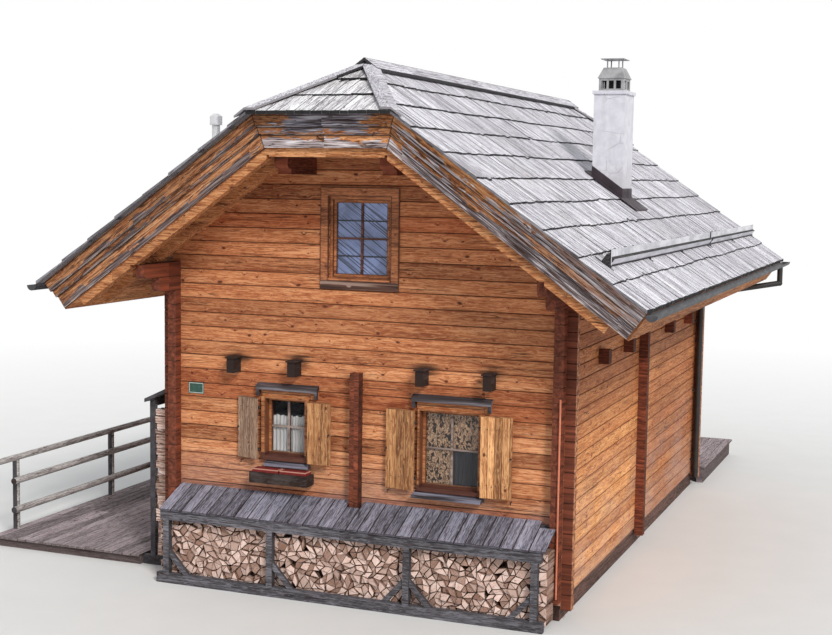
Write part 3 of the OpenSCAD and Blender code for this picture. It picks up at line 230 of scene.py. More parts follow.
class Finish:
    """One procedural material, or the world, built node by node."""

    def __init__(self, name, kind="materials"):
        self.made = getattr(bpy.data, kind).new(name)
        self.made.use_nodes = True
        self.tree = self.made.node_tree
        self.tree.nodes.clear()

    def feed(self, socket, value):
        """Links a socket to an output, or sets its value."""
        if isinstance(value, Value):
            self.tree.links.new(value.socket, socket)
        elif socket.type == "RGBA":
            socket.default_value = (*value[:3], 1.0)
        else:
            socket.default_value = value

    def node(self, kind, inputs=None, **choices):
        """A new node with its choices made and its inputs fed."""
        made = self.tree.nodes.new(kind)
        for key, value in choices.items():
            setattr(made, key, value)
        for key, value in (inputs or {}).items():
            self.feed(made.inputs[key], value)
        return made

    def out(self, kind, inputs=None, output=0, **choices):
        """One output of a new node."""
        return Value(self, self.node(kind, inputs, **choices).outputs[output])

    def math(self, operation, a, b=0.0, clamp=False):
        """Result of one sum on two numbers."""
        return self.out("ShaderNodeMath", {0: a, 1: b}, operation=operation, use_clamp=clamp)

    def floor(self, value):
        """The whole number at or below a number."""
        return self.math("FLOOR", value)

    def most(self, first, *others):
        """The largest of some numbers."""
        for other in others:
            first = self.math("MAXIMUM", first, other)
        return first

    def least(self, a, b):
        """The smaller of two numbers."""
        return self.math("MINIMUM", a, b)

    def scaled(self, vector, factors):
        """A vector with each part multiplied."""
        return self.out("ShaderNodeVectorMath", {0: vector, 1: factors}, operation="MULTIPLY")

    def moved(self, vector, by):
        """A vector moved by another."""
        return self.out("ShaderNodeVectorMath", {0: vector, 1: by}, operation="ADD")

    def distance(self, vector):
        """The length of a vector."""
        return self.out("ShaderNodeVectorMath", {0: vector}, "Value", operation="LENGTH")

    def split(self, vector):
        """The three parts of a vector."""
        return [Value(self, part) for part in self.node("ShaderNodeSeparateXYZ", {0: vector}).outputs]

    def join(self, x, y, z):
        """A vector from three numbers."""
        return self.out("ShaderNodeCombineXYZ", {0: x, 1: y, 2: z})

    def coordinates(self):
        """Where a point lies in its piece, and the direction that the surface faces there."""
        outputs = self.node("ShaderNodeTexCoord").outputs
        return Value(self, outputs["Object"]), Value(self, outputs["Normal"])

    def attribute(self, name, output="Fac"):
        """A value that the mesh carries."""
        return self.out("ShaderNodeAttribute", None, output, attribute_name=name)

    def seen(self):
        """1 for rays that come from the camera straight, through glass or by a mirror."""
        rays = self.node("ShaderNodeLightPath").outputs
        kinds = ("Is Camera Ray", "Is Transmission Ray", "Is Glossy Ray")
        return self.most(*(Value(self, rays[kind]) for kind in kinds))

    def noise(self, vector, scale=1.0, detail=2.0, distortion=0.0):
        """Soft noise from about 0.3 to 0.7."""
        inputs = {"Vector": vector, "Scale": scale, "Detail": detail, "Distortion": distortion}
        return self.out("ShaderNodeTexNoise", inputs)

    def stretched(self, vector, factors, detail, distortion=0.0):
        """Soft noise that is stretched or squeezed along each axis."""
        return self.noise(self.scaled(vector, factors), 1.0, detail, distortion)

    def cells(self, vector, scale, dimensions="2D", feature="F1"):
        """Distance to the nearest point of a scatter, and that point's random colour."""
        inputs = {"Vector": vector, "Scale": scale}
        made = self.node("ShaderNodeTexVoronoi", inputs, voronoi_dimensions=dimensions, feature=feature)
        return Value(self, made.outputs["Distance"]), Value(self, made.outputs.get("Color"))

    def chance(self, vector):
        """A random number that is constant wherever the vector is."""
        return self.out("ShaderNodeTexWhiteNoise", {"Vector": vector}, "Value", noise_dimensions="3D")

    def rise(self, value, low, high, start=0.0, end=1.0):
        """A number that goes from start to end as the value goes from low to high."""
        return self.out("ShaderNodeMapRange", {0: value, 1: low, 2: high, 3: start, 4: end})

    def rough(self, pattern, start, end):
        """A roughness that goes from start to end with a soft noise."""
        return self.rise(pattern, 0.3, 0.7, start, end)

    def line(self, value, centre, width):
        """1 where the value is at the centre, falling to 0 at the width."""
        return self.math("SUBTRACT", 1.0, abs(value - centre) / width, True)

    def mix(self, factor, a, b, blend="MIX"):
        """Two colours mixed."""
        return self.out("ShaderNodeMix", {0: factor, 6: a, 7: b}, 2, data_type="RGBA", blend_type=blend)

    def darkened(self, factor, colour, by):
        """A colour multiplied by another as far as the factor says."""
        return self.mix(factor, colour, self.mix(1.0, colour, by, "MULTIPLY"))

    def ramp(self, value, *stops):
        """A colour from a value by its stops, each a place and a colour."""
        made = self.node("ShaderNodeValToRGB", {0: value})
        ramp = made.color_ramp
        while len(ramp.elements) < len(stops):
            ramp.elements.new(0.5)
        for element, (place, colour) in zip(ramp.elements, stops):
            element.position = place
            element.color = (*colour[:3], 1.0)
        return Value(self, made.outputs[0])

    def shine(self, colour, roughness, relief, depth, gloss=0.5, **fixed):
        """Ends the material in a surface with that colour, roughness, relief and gloss."""
        bump = self.out("ShaderNodeBump", {"Height": relief, "Distance": depth, "Strength": 0.9})
        inputs = {"Base Color": colour, "Roughness": roughness, "Normal": bump, "Specular IOR Level": gloss}
        inputs.update({key.replace("_", " "): value for key, value in fixed.items()})
        self.node("ShaderNodeOutputMaterial", {0: self.out("ShaderNodeBsdfPrincipled", inputs)})
        return self.made


def timber_colour(fin, grain, tone, light, mid, dark, knots=0.3, cracks=1.0, spread=0.5):
    """Colour and relief of planed or sawn timber whose grain runs along the first axis."""
    wood = settings("wood")
    parts = fin.split(grain)
    bend = fin.stretched(grain, (1.3, 2.0, 2.0), 1.0) * 0.3
    distance, scatter = fin.cells(fin.join(parts[0] + bend, parts[1] * 1.6, 0.0), 3.4)
    pick = fin.split(scatter)
    here = fin.rise(pick[0], 1.0 - knots - 0.02, 1.0 - knots + 0.02)
    distance *= fin.rise(pick[1], 0.0, 1.0, 0.8, 2.6)
    core = fin.rise(distance, 0.11, 0.06) * here
    halo = fin.rise(distance, 0.34, 0.06) * here
    grain = fin.moved(grain, fin.join(0.0, halo * 0.03, 0.0))
    streak = fin.stretched(grain, (0.9, 19.0, 19.0), 5.0, 0.5)
    flame = fin.stretched(grain, (2.6, 24.0, 24.0), 3.0, 1.6)
    broad = fin.stretched(grain, (0.7, 3.2, 3.2), 3.0)
    fibre = fin.stretched(grain, (4.0, 75.0, 75.0), 3.0)
    mixed = streak * 0.4 + broad * 0.25
    mixed += flame * 0.35
    mixed += (tone - 0.5) * (0.2 * spread)
    colour = fin.ramp(mixed, (0.39, dark), (0.475, mid), (0.53, mid), (0.62, light))
    colour = fin.mix(fin.rise(fibre, 0.53, 0.6, 0.0, 0.62), colour, dark)
    colour = fin.mix(fin.rise(fibre, 0.46, 0.38, 0.0, 0.5), colour, light)
    worn = fin.stretched(grain, (5.0, 34.0, 34.0), 5.0, 2.2)
    colour = fin.mix(fin.rise(worn, 0.55, 0.585, 0.0, 0.55), colour, light)
    colour = fin.mix(fin.rise(worn, 0.43, 0.395, 0.0, 0.6), colour, dark)
    value = fin.rise(tone, 0.0, 1.0, 1.0 - spread * 0.45, 1.0 + spread * 0.2)
    colour = fin.mix(1.0, colour, fin.join(value, value, value), "MULTIPLY")
    colour = fin.mix(halo * 0.3, colour, dark)
    colour = fin.mix(core, colour, wood.knot)
    split = fin.stretched(grain, (0.6, 24.0, 24.0), 1.0, 0.15)
    where = fin.rise(fin.stretched(grain, (1.1, 4.0, 4.0), 1.0), 0.47, 0.56)
    crack = fin.line(split, 0.5, 0.016) * where * cracks
    colour = fin.mix(crack * 0.85, colour, wood.crack)
    relief = fibre * 0.35 + streak * 0.45
    relief -= crack * 1.2
    relief += core * 0.15
    return colour, relief, streak


def end_grain_colour(fin, grain, light, dark):
    """Colour of a cut end: rings round a heart, and a few radial checks."""
    parts = fin.split(grain)
    across = fin.join(0.0, parts[1], parts[2])
    bend = fin.stretched(across, (1.0, 9.0, 9.0), 2.0)
    reach = fin.distance(across) + bend * 0.03
    rings = fin.math("SINE", reach * 900.0)
    angle = fin.math("ARCTAN2", parts[1], parts[2])
    check = fin.noise(fin.join(angle * 3.0, reach * 2.0, 0.0), 1.0, 1.0)
    check = fin.line(check, 0.5, 0.012)
    value = rings * 0.12 + bend * 0.9
    colour = fin.mix(fin.rise(value, 0.25, 0.7), dark, light)
    return fin.mix(check * 0.8, colour, settings("wood").crack)


def board_inputs(fin):
    """Grain, tone and end cut as the boards made here carry them."""
    return fin.attribute("grain", "Vector"), fin.attribute("tone"), fin.attribute("cut")


def solid_inputs(fin, axis, step=0.19, base=0.15, long=3.0, start=0.0):
    """Grain, tone, end cut and place in a CAD solid whose timber lies along an axis."""
    place, normal = fin.coordinates()
    x, y, z = fin.split(place)
    nx, ny, _ = fin.split(normal)
    row = fin.floor((z - base) / step)
    if axis == "X":
        grain, along, facing, other = fin.join(x, z, y), x, nx, y
    else:
        grain, along, facing, other = fin.join(y, z, x), y, ny, x
    part = fin.floor((along - start) / long)
    key = fin.join(row, part, fin.floor(other * 0.5))
    tone = fin.chance(key)
    shift = fin.scaled(fin.join(row, row, part), (1.37, 0.61, 0.43))
    cut = fin.rise(abs(facing), 0.6, 0.7)
    return fin.moved(grain, shift), tone, cut, (x, y, z)


def board_finish(name, light, mid, dark, knots=0.4, cracks=0.7, spread=0.6, end=None, side=0.0):
    """Finish of boards made here; side is how dark their upright sides are, painted shade in the joints
    between them.
    """
    fin = Finish(name)
    grain, tone, cut = board_inputs(fin)
    colour, relief, streak = timber_colour(fin, grain, tone, light, mid, dark, knots, cracks, spread)
    # painted shade: the upright sides darkened, so the joints between boards look shaded
    if side:
        upward = abs(fin.split(fin.coordinates()[1])[2])
        colour = fin.mix(fin.rise(upward, 0.75, 0.6, 0.0, side), colour, settings("wood").crack)
    colour = fin.mix(cut, colour, end_grain_colour(fin, grain, *(end or (mid, dark))))
    return fin.shine(colour, fin.rough(streak, 0.9, 0.74), relief, 0.003, 0.28)


def solid_finish(name, axis, light, mid, dark, step=0.19, base=0.15, end=None, shaded=None, **how):
    """Finish of a CAD solid of timber along an axis; faces that look up more than shaded are made near black,
    painted shade.
    """
    fin = Finish(name)
    grain, tone, cut, _ = solid_inputs(fin, axis, step, base)
    colour, relief, streak = timber_colour(fin, grain, tone, light, mid, dark, **how)
    colour = fin.mix(cut, colour, end_grain_colour(fin, grain, *(end or (mid, dark))))
    # painted shade: faces that look up more than shaded are made near black
    if shaded is not None:
        upward = fin.split(fin.coordinates()[1])[2]
        colour = fin.mix(upward > shaded, colour, (0.02, 0.017, 0.016))
    return fin.shine(colour, fin.rough(streak, 0.88, 0.72), relief, 0.003, 0.28)


def log_finish(name, axis, base, light, mid, dark, half, low_grey, joists=None):
    """Finish of a log wall: joints at its courses with painted shade beside them, stained ends, greyer low
    courses, soot at joists, painted shade high up and towards the side walls' rear, and painted sunlight on
    the front logs' cut ends.
    """
    wood = settings("wood")
    fin = Finish(name)
    long, start, spread, red = (12.0, -6.0, 0.6, 0.65) if axis == "X" else (4.6, 0.0, 0.35, 0.25)
    grain, tone, cut, (x, y, z) = solid_inputs(fin, axis, wood.course, base, long, start)
    colour, relief, streak = timber_colour(fin, grain, tone, light, mid, dark, 0.5, 1.0, spread)
    redder = fin.rise(fin.chance(fin.join(tone * 57.0, 3.0, 0.0)), 0.5, 0.8, 0.0, red)
    colour = fin.darkened(redder, colour, (0.82, 0.56, 0.46))
    phase = fin.math("FRACT", (z - base) / wood.course + 0.5)
    joint = fin.line(phase, 0.5, 0.045)
    soft = fin.line(phase, 0.52, 0.16)
    stain = fin.noise(fin.scaled(fin.join(x, y, z), (0.8, 0.8, 2.0)), 1.0, 4.0)
    # painted shade: a soft darker band along each joint
    colour = fin.mix(soft * 0.3, colour, dark)
    # painted shade: the upper courses, under the roof's overhang, darker and redder
    high = fin.rise(z, 2.6, 4.6, 0.0, 0.3)
    colour = fin.darkened(high, colour, (0.72, 0.52, 0.42))
    if axis == "Y":
        # painted shade: the side walls darker and redder towards the rear and high under the eaves
        painted_rear_and_eave_shade = fin.most(fin.rise(y, -0.9, 1.2, 0.0, 0.8), fin.rise(z, 1.7, 2.5, 0.0, 0.7))
        colour = fin.darkened(painted_rear_and_eave_shade, colour, (0.55, 0.44, 0.44))
    low = fin.rise(z, 1.9, 0.7) * fin.rise(stain, 0.36, 0.6)
    colour = fin.mix(low * low_grey, colour, wood.grey)
    if joists:
        middle, pitch, level = joists
        turn = (x - middle) / pitch
        off = (turn - fin.math("ROUND", turn)) * (pitch / 0.24)
        up = (z - level) / 0.1
        reach = fin.distance(fin.join(off, up, 0.0)) + (streak - 0.5) * 2.2
        there = fin.rise(abs(turn), 0.5, 0.51) * fin.rise(abs(turn), 2.5, 2.49)
        soot = fin.rise(reach, 1.0, 0.25) * there
        colour = fin.mix(soot * 0.85, colour, wood.crack)
    past = abs(x if axis == "X" else y)
    ends = fin.most(fin.rise(past, half - 0.004, half + 0.004), cut)
    deep, pale = times(wood.log_end, 0.6), times(wood.log_end, 1.6)
    shade = fin.ramp(streak + (tone - 0.5) * 0.06, (0.34, deep), (0.5, wood.log_end), (0.66, pale))
    colour = fin.mix(ends, colour, shade)
    if axis == "X":
        # painted sunlight: the front and rear logs' cut ends in bright golden tones
        painted_sunlit_ends = fin.ramp(
            streak, (0.36, (0.13, 0.04, 0.02)), (0.48, (0.34, 0.13, 0.055)), (0.64, (0.62, 0.3, 0.14))
        )
        colour = fin.mix(cut * 0.85, colour, painted_sunlit_ends)
    colour = fin.mix(joint * 0.9, colour, wood.crack)
    relief -= joint * 0.8
    roughness = fin.rough(streak, 0.8, 0.62)
    return fin.shine(colour, roughness, relief, 0.004, 0.3)


def metal_finish(name, colour, rough=0.45, shine=0.75, stains=0.5, dark=(0.08, 0.08, 0.085)):
    """Finish of weathered sheet metal: dull patches, fine scratches and dirt."""
    fin = Finish(name)
    place, _ = fin.coordinates()
    patch = fin.noise(place, 6.0, 5.0)
    fine = fin.noise(place, 90.0, 2.0)
    dirt = fin.rise(patch, 0.45, 0.68) * stains
    tone = fin.mix(dirt, colour, dark)
    tone = fin.mix(fin.rise(fine, 0.3, 0.7, 0.0, 0.25), tone, times(colour, 1.35))
    roughness = fin.rough(patch, rough - 0.08, rough + 0.2)
    relief = patch * 0.6 + fine * 0.2
    return fin.shine(tone, roughness, relief, 0.002, Metallic=shine)


def plaster_finish():
    """Finish of the white chimney: trowelled plaster with hair cracks, soot and rain streaks."""
    fin = Finish("chimney_plaster")
    place, _ = fin.coordinates()
    _, _, z = fin.split(place)
    trowel = fin.noise(place, 9.0, 5.0, 0.4)
    grit = fin.noise(place, 160.0, 2.0)
    edges, _ = fin.cells(place, 3.3, "3D", "DISTANCE_TO_EDGE")
    crack = fin.rise(edges, 0.007, 0.002) * fin.rise(fin.noise(place, 2.2, 1.0), 0.5, 0.6)
    streak = fin.stretched(place, (16.0, 16.0, 1.3), 3.0)
    rain = fin.rise(streak, 0.52, 0.7) * fin.rise(z, 4.9, 6.7, 0.35, 0.8)
    colour = fin.mix(fin.rise(trowel, 0.35, 0.65), (0.6, 0.59, 0.645), (0.7, 0.69, 0.74))
    colour = fin.mix(rain * 0.3, colour, (0.45, 0.44, 0.46))
    colour = fin.mix(crack * 0.7, colour, (0.3, 0.29, 0.28))
    foot = fin.rise(z + trowel * 0.5, 5.95, 5.6)
    colour = fin.mix(foot * 0.35, colour, (0.45, 0.43, 0.42))
    relief = trowel * 0.8 + grit * 0.2
    relief -= crack
    return fin.shine(colour, fin.rough(grit, 0.8, 0.95), relief, 0.004)


def glass_finish(name, sky, dark, sky_from):
    """Finish of old window glass: see-through and dark below a height, painted sky reflection above it, and
    painted mottled reflections in some panes of the right window.
    """
    fin = Finish(name)
    place, _ = fin.coordinates()
    x, y, z = fin.split(place)
    wave = fin.noise(place, 3.0, 1.0)
    dust = fin.noise(place, 14.0, 4.0)
    cloud = fin.noise(place, 2.4, 3.0, 0.6)
    # painted reflection of the sky, crossed by dark smears, above the height
    bright = fin.mix(fin.rise(cloud, 0.4, 0.62), times(sky, 0.75), times(sky, 1.35))
    lean = fin.join(x * 0.58 + z * 0.81, y, (z - x) * 0.1)
    smear = fin.stretched(lean, (46.0, 1.0, 6.0), 2.0)
    bright = fin.mix(fin.rise(smear, 0.53, 0.6, 0.0, 0.85), bright, times(sky, 0.12))
    high = fin.rise(z, sky_from - 0.01, sky_from + 0.01)
    tone = fin.mix(high, fin.mix(fin.rise(dust, 0.45, 0.75, 0.0, 0.06), dark, sky), bright)
    # painted reflection: mottled browns in the right window's left column and upper right pane
    column = fin.rise(x, 0.8, 0.81) * fin.rise(x, 1.25, 1.24)
    second = fin.rise(x, 1.25, 1.26) * fin.rise(z, 1.99, 2.02)
    mirror = fin.most(column, second) * (1.0 - high)
    mottle = fin.stretched(place, (26.0, 1.0, 17.0), 6.0, 0.85)
    mirrored = fin.ramp(
        mottle, (0.41, (0.02, 0.014, 0.012)), (0.47, (0.14, 0.08, 0.05)),
        (0.52, (0.5, 0.33, 0.21)), (0.6, (0.16, 0.095, 0.06)),
    )
    tone = fin.mix(mirror, tone, mirrored)
    roughness = fin.rough(dust, 0.02, 0.1)
    dim = fin.rise(x, 1.25, 1.26) * (1.0 - second) * 0.46
    solid = fin.rise(high, 0.0, 1.0, 0.14, 0.94) + mirror * 0.74
    solid += dim * (1.0 - high)
    return fin.shine(tone, roughness, wave, 0.01, Alpha=solid, IOR=1.5)


def cloth_finish(name, colour):
    """Finish of thin woven cotton."""
    fin = Finish(name)
    place, _ = fin.coordinates()
    x, y, z = fin.split(place)
    warp = fin.math("SINE", (x + y) * 2400.0)
    weft = fin.math("SINE", z * 2400.0)
    weave = warp * weft
    soft = fin.noise(place, 7.0, 3.0)
    tone = fin.mix(fin.rise(soft, 0.35, 0.65), times(colour, 0.86), colour)
    return fin.shine(tone, fin.rough(soft, 0.85, 0.95), weave, 0.0004, Sheen_Weight=0.25)


# Boards and logs


def new_object(name, points, faces, material):
    """A new object of the scene from its points and faces."""
    mesh = bpy.data.meshes.new(name)
    mesh.from_pydata(points, [], faces)
    mesh.materials.append(material)
    made = bpy.data.objects.new(name, mesh)
    bpy.context.scene.collection.objects.link(made)
    return made


class Pile:
    """Boards, bars and logs gathered into one mesh, each with its own grain, tone and cut ends."""

    def __init__(self, seed):
        self.chance = random.Random(seed)
        self.points, self.faces, self.grain, self.tone, self.cut = [], [], [], [], []

    def solid(self, points, faces, axis, side, origin=None, tone=None):
        """A closed solid whose grain runs along an axis; its heart is at the origin, or anywhere."""
        first = len(self.points)
        up = axis.cross(side).normalized()
        uniform = self.chance.uniform
        if tone is None:
            tone = self.chance.random()
        if origin is None:
            shift = Vector((uniform(-40, 40), uniform(-0.5, 0.5), uniform(-0.5, 0.5)))
            origin = sum(points, Vector()) / len(points)
        else:
            shift = Vector((uniform(-40, 40), 0, 0))
        for point in points:
            p = point - origin
            self.points.append(point)
            self.grain.append(Vector((p.dot(axis), p.dot(side), p.dot(up))) + shift)
            self.tone.append(tone)
        for face in faces:
            a, b, c = (points[i] for i in face[:3])
            normal = (b - a).cross(c - b)
            self.faces.append([first + i for i in face])
            self.cut.append(1.0 if normal.length > 0 and abs(normal.normalized().dot(axis)) > 0.7 else 0.0)

    def loops(self, rings, axis, side, **how):
        """A solid from rings of points of one length, closed at its first and last ring."""
        n = len(rings[0])
        points = [p for ring in rings for p in ring]
        faces = [tuple(range(n - 1, -1, -1)), tuple((len(rings) - 1) * n + i for i in range(n))]
        for r in range(len(rings) - 1):
            for i in range(n):
                j = (i + 1) % n
                faces.append((r * n + i, r * n + j, (r + 1) * n + j, (r + 1) * n + i))
        self.solid(points, faces, axis, side, **how)

    def bar(self, a, b, side, width, thick, ease=0.003, **how):
        """A board or bar from a to b with eased edges; width is measured along side."""
        axis = (b - a).normalized()
        side = (side - axis * side.dot(axis)).normalized()
        up = axis.cross(side)
        ease = min(ease, width * 0.3, thick * 0.3)

        def ring(centre, shrink):
            w, t = width / 2 - shrink, thick / 2 - shrink
            corners = [(w - ease, t), (w, t - ease), (w, ease - t), (w - ease, -t)]
            corners += [(-u, -v) for u, v in corners]
            return [centre + side * u + up * v for u, v in corners]

        rings = [ring(a, ease * 0.7), ring(a + axis * ease, 0), ring(b - axis * ease, 0), ring(b, ease * 0.7)]
        self.loops(rings, axis, side, **how)

    def rod(self, a, b, radius, sides=8, **how):
        """A round rod from a to b."""
        axis = (b - a).normalized()
        side = axis.orthogonal().normalized()
        up = axis.cross(side)
        turns = [2 * math.pi * i / sides for i in range(sides)]
        around = [side * radius * math.cos(t) + up * radius * math.sin(t) for t in turns]
        rings = [[end + step for step in around] for end in (a, b)]
        self.loops(rings, axis, side, **how)

    def piece(self, name, material, slot, *replaced, body="house"):
        """The pile as one object of the chalet."""
        made = new_object(name, self.points, self.faces, material)
        mesh = made.data
        shape = bmesh.new()
        shape.from_mesh(mesh)
        bmesh.ops.recalc_face_normals(shape, faces=shape.faces)
        shape.to_mesh(mesh)
        shape.free()
        grain = mesh.attributes.new("grain", "FLOAT_VECTOR", "POINT")
        grain.data.foreach_set("vector", [c for v in self.grain for c in v])
        for attribute, domain, values in (("tone", "POINT", self.tone), ("cut", "FACE", self.cut)):
            mesh.attributes.new(attribute, "FLOAT", domain).data.foreach_set("value", values)
        for polygon in mesh.polygons:
            polygon.use_smooth = False
        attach(made, body)
        if replaced:
            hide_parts(*replaced)
        return made


def dress(material, *nodes):
    """Gives CAD nodes their finish."""
    for node in nodes:
        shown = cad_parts[node]
        shown.data.materials.clear()
        shown.data.materials.append(material)


def clip(polygon, border):
    """A convex polygon cut to the inside of another convex one, both anticlockwise."""
    for i, a in enumerate(border):
        b = border[(i + 1) % len(border)]
        out = []
        for j, p in enumerate(polygon):
            q = polygon[(j + 1) % len(polygon)]
            dp = (b[0] - a[0]) * (p[1] - a[1]) - (b[1] - a[1]) * (p[0] - a[0])
            dq = (b[0] - a[0]) * (q[1] - a[1]) - (b[1] - a[1]) * (q[0] - a[0])
            if dp >= 0:
                out.append(p)
            if (dp >= 0) != (dq >= 0):
                t = dp / (dp - dq)
                out.append((p[0] + t * (q[0] - p[0]), p[1] + t * (q[1] - p[1])))
        polygon = out
        if len(polygon) < 3:
            return []
    return polygon


def widths(chance, run, narrow, wide):
    """Random widths that fill a run."""
    out = []
    while sum(out) < run - narrow:
        out.append(chance.uniform(narrow, wide))
    factor = run / sum(out)
    return [w * factor for w in out]


# Walls and floors


class CHALET_OT_log_walls(bpy.types.Operator):
    """Gives the log walls, joists, purlins, plinth and floors their weathered timber"""

    bl_idname = "chalet.log_walls"
    bl_label = "Log Walls"

    def execute(self, context):
        wood = settings("wood")
        front = tones("wood", "log")
        sides = tones("wood", "side")
        gable = log_finish("front_logs", "X", wood.front_base, *front, 2.73, 0.5, (0.022, 0.885, 3.0))
        dress(gable, "front_wall", "rear_wall")
        flank = log_finish("side_logs", "Y", wood.side_base, *sides, 4.3, 0.3)
        dress(flank, "right_wall", "left_wall")
        twice = times(wood.log_end, 2.0)
        stain = (twice, wood.log_end, times(wood.log_end, 0.4))
        ends = solid_finish("stained_ends", "X", *stain, base=wood.front_base, end=(wood.log_end, wood.crack))
        dress(ends, "cross_wall_ends", "cross_joists")
        purlin = solid_finish("stained_purlins", "Y", *stain, base=0.0, step=0.5, end=(twice, wood.log_end))
        dress(purlin, "middle_purlins")
        black = ((0.06, 0.045, 0.045), (0.02, 0.013, 0.013), wood.crack)
        dress(solid_finish("black_joists", "Y", *black, base=0.05, end=(black[1], wood.crack)), "long_joists")
        dress(solid_finish("floor_boards", "Y", *sides, spread=0.3), "ground_floor", "upper_floor")
        dark = ((0.2, 0.11, 0.085), (0.1, 0.05, 0.04), (0.03, 0.015, 0.012))
        dress(solid_finish("plinth_timber", "Y", *dark, base=0.0), "plinth")
        return {"FINISHED"}


# Roof


def roof_silver_finish(name, bleach):
    """Finish of the bleached roof boards: silver grain, crisp grooves, damp streaks, and near-black feet that
    are dark butts with painted shade.
    """
    fin = Finish(name)
    grain, tone, cut = board_inputs(fin)
    light, mid, dark = tones("roof", "silver")
    mid = tuple(a + (b - a) * bleach for a, b in zip(mid, light))
    colour, relief, streak = timber_colour(fin, grain, tone, light, mid, dark, knots=0.05, spread=0.25)
    place, normal = fin.coordinates()
    dark_butts_and_painted_shade = fin.rise(fin.split(normal)[2], 0.4, 0.3)
    damp = fin.stretched(place, (0.55, 0.4, 0.55), 4.0)
    colour = fin.mix(fin.rise(damp, 0.5, 0.68, 0.0, 0.3 * (1 - bleach)), colour, dark)
    groove = fin.stretched(grain, (0.2, 30.0, 0.0), 1.0)
    groove = fin.most(fin.line(groove, 0.5, 0.035), fin.line(groove, 0.4, 0.03), fin.line(groove, 0.6, 0.03))
    there = fin.stretched(grain, (0.8, 9.0, 0.0), 1.0)
    groove *= fin.rise(there, 0.4, 0.55, 0.25, 1.0)
    colour = fin.mix(groove * (0.85 - 0.35 * bleach), colour, times(dark, 0.5))
    warm = fin.noise(fin.moved(place, (9.0, 3.0, 1.0)), 0.9, 3.0)
    colour = fin.mix(fin.rise(warm, 0.58, 0.7, 0.0, 0.1), colour, (0.34, 0.27, 0.2))
    # dark butts and painted shade: the steep faces at each row's foot and the boards' cut ends made near
    # black
    colour = fin.mix(dark_butts_and_painted_shade * 0.75, colour, (0.03, 0.027, 0.03))
    colour = fin.mix(cut * 0.96, colour, (0.014, 0.013, 0.014))
    relief -= groove * 0.9
    roughness = fin.rough(streak, 0.92, 0.74)
    return fin.shine(colour, roughness, relief, 0.004, 0.25)


def roof_slope():
    """The roof's top height, its rise and the run of its half hips, from the CAD boards."""
    low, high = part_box("roof_boards_right")
    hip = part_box("hip_boards")[1].x
    return high.z, (high.z - low.z - settings("roof").butt) / high.x, hip


def lay_rows(pile, region, run, rows, top, rise, span, place):
    """Rows of boards on one slope; place turns (down the slope, along the row, height) into the frame."""
    roof = settings("roof")
    step = run / rows
    axis = (place(1, 0, -rise) - place(0, 0, 0)).normalized()
    side = (place(0, 1, 0) - place(0, 0, 0)).normalized()
    uniform = pile.chance.uniform
    for row in range(rows):
        foot = run - row * step
        wave = uniform(0, 6)
        along = span[0]
        for width in widths(pile.chance, span[1] - span[0], roof.narrow, roof.wide):
            push = 0.008 * math.sin(along * 1.9 + wave) + uniform(-0.007, 0.007)
            if pile.chance.random() < 0.05:
                push += uniform(-0.035, 0.03)
            low = foot + (push if row else -abs(push) * 0.5)
            high = foot - step - 0.07
            lean = uniform(-0.004, 0.004)
            gap = roof.gap * uniform(0.5, 1.4)
            near, far = along + gap / 2, along + width - gap / 2
            along += width
            shape = clip([(high, near + lean), (low, near), (low, far), (high, far + lean)], region)
            if len(shape) < 3:
                continue
            lift = uniform(0, 0.007)
            warp = uniform(-0.05, 0.05)
            middle = sum(t for _, t in shape) / len(shape)
            under = [place(s, t, top - rise * s - roof.butt) for s, t in shape]
            over = [
                place(s, t, top - rise * s + lift + warp * (t - middle) - roof.lip * (low - s) / step)
                for s, t in shape
            ]
            pile.loops([under, over], axis, side)


class CHALET_OT_roof_boards(bpy.types.Operator):
    """Lays the rows of silver boards on both main slopes and both half hips"""

    bl_idname = "chalet.roof_boards"
    bl_label = "Roof Boards"

    def execute(self, context):
        roof = settings("roof")
        silver = roof_silver_finish("roof_silver", 0.0)
        low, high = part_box("roof_boards_right")
        run, front, rear = high.x, low.y, high.y
        top, rise, hip = roof_slope()
        past = run + 0.03
        region = [
            (0.0, front + roof.hip_run_front), (hip, front), (past, front),
            (past, rear), (hip, rear), (0.0, rear - roof.hip_run_rear),
        ]
        for name, side, seed in (("right", 1, 11), ("left", -1, 12)):
            pile = Pile(seed)
            lay_rows(
                pile, region, run, roof.rows, top, rise, (front, rear),
                lambda s, t, z, side=side: Vector((side * s, t, z)),
            )
            pile.piece("slope_boards_" + name, silver, "silver_wood", "roof_boards_" + name)
        pile = Pile(13)
        ends = (
            (roof.hip_run_front, lambda s, t, z: Vector((t, front + roof.hip_run_front - s, z))),
            (roof.hip_run_rear, lambda s, t, z: Vector((t, rear - roof.hip_run_rear + s, z))),
        )
        for hip_run, place in ends:
            triangle = [(0.0, 0.0), (hip_run, -hip), (hip_run, hip)]
            lay_rows(pile, triangle, hip_run, roof.hip_rows, top, rise * hip / hip_run, (-hip, hip), place)
        bleached = roof_silver_finish("roof_silver_hip", 1.0)
        pile.piece("half_hip_boards", bleached, "silver_wood", "hip_boards")
        return {"FINISHED"}


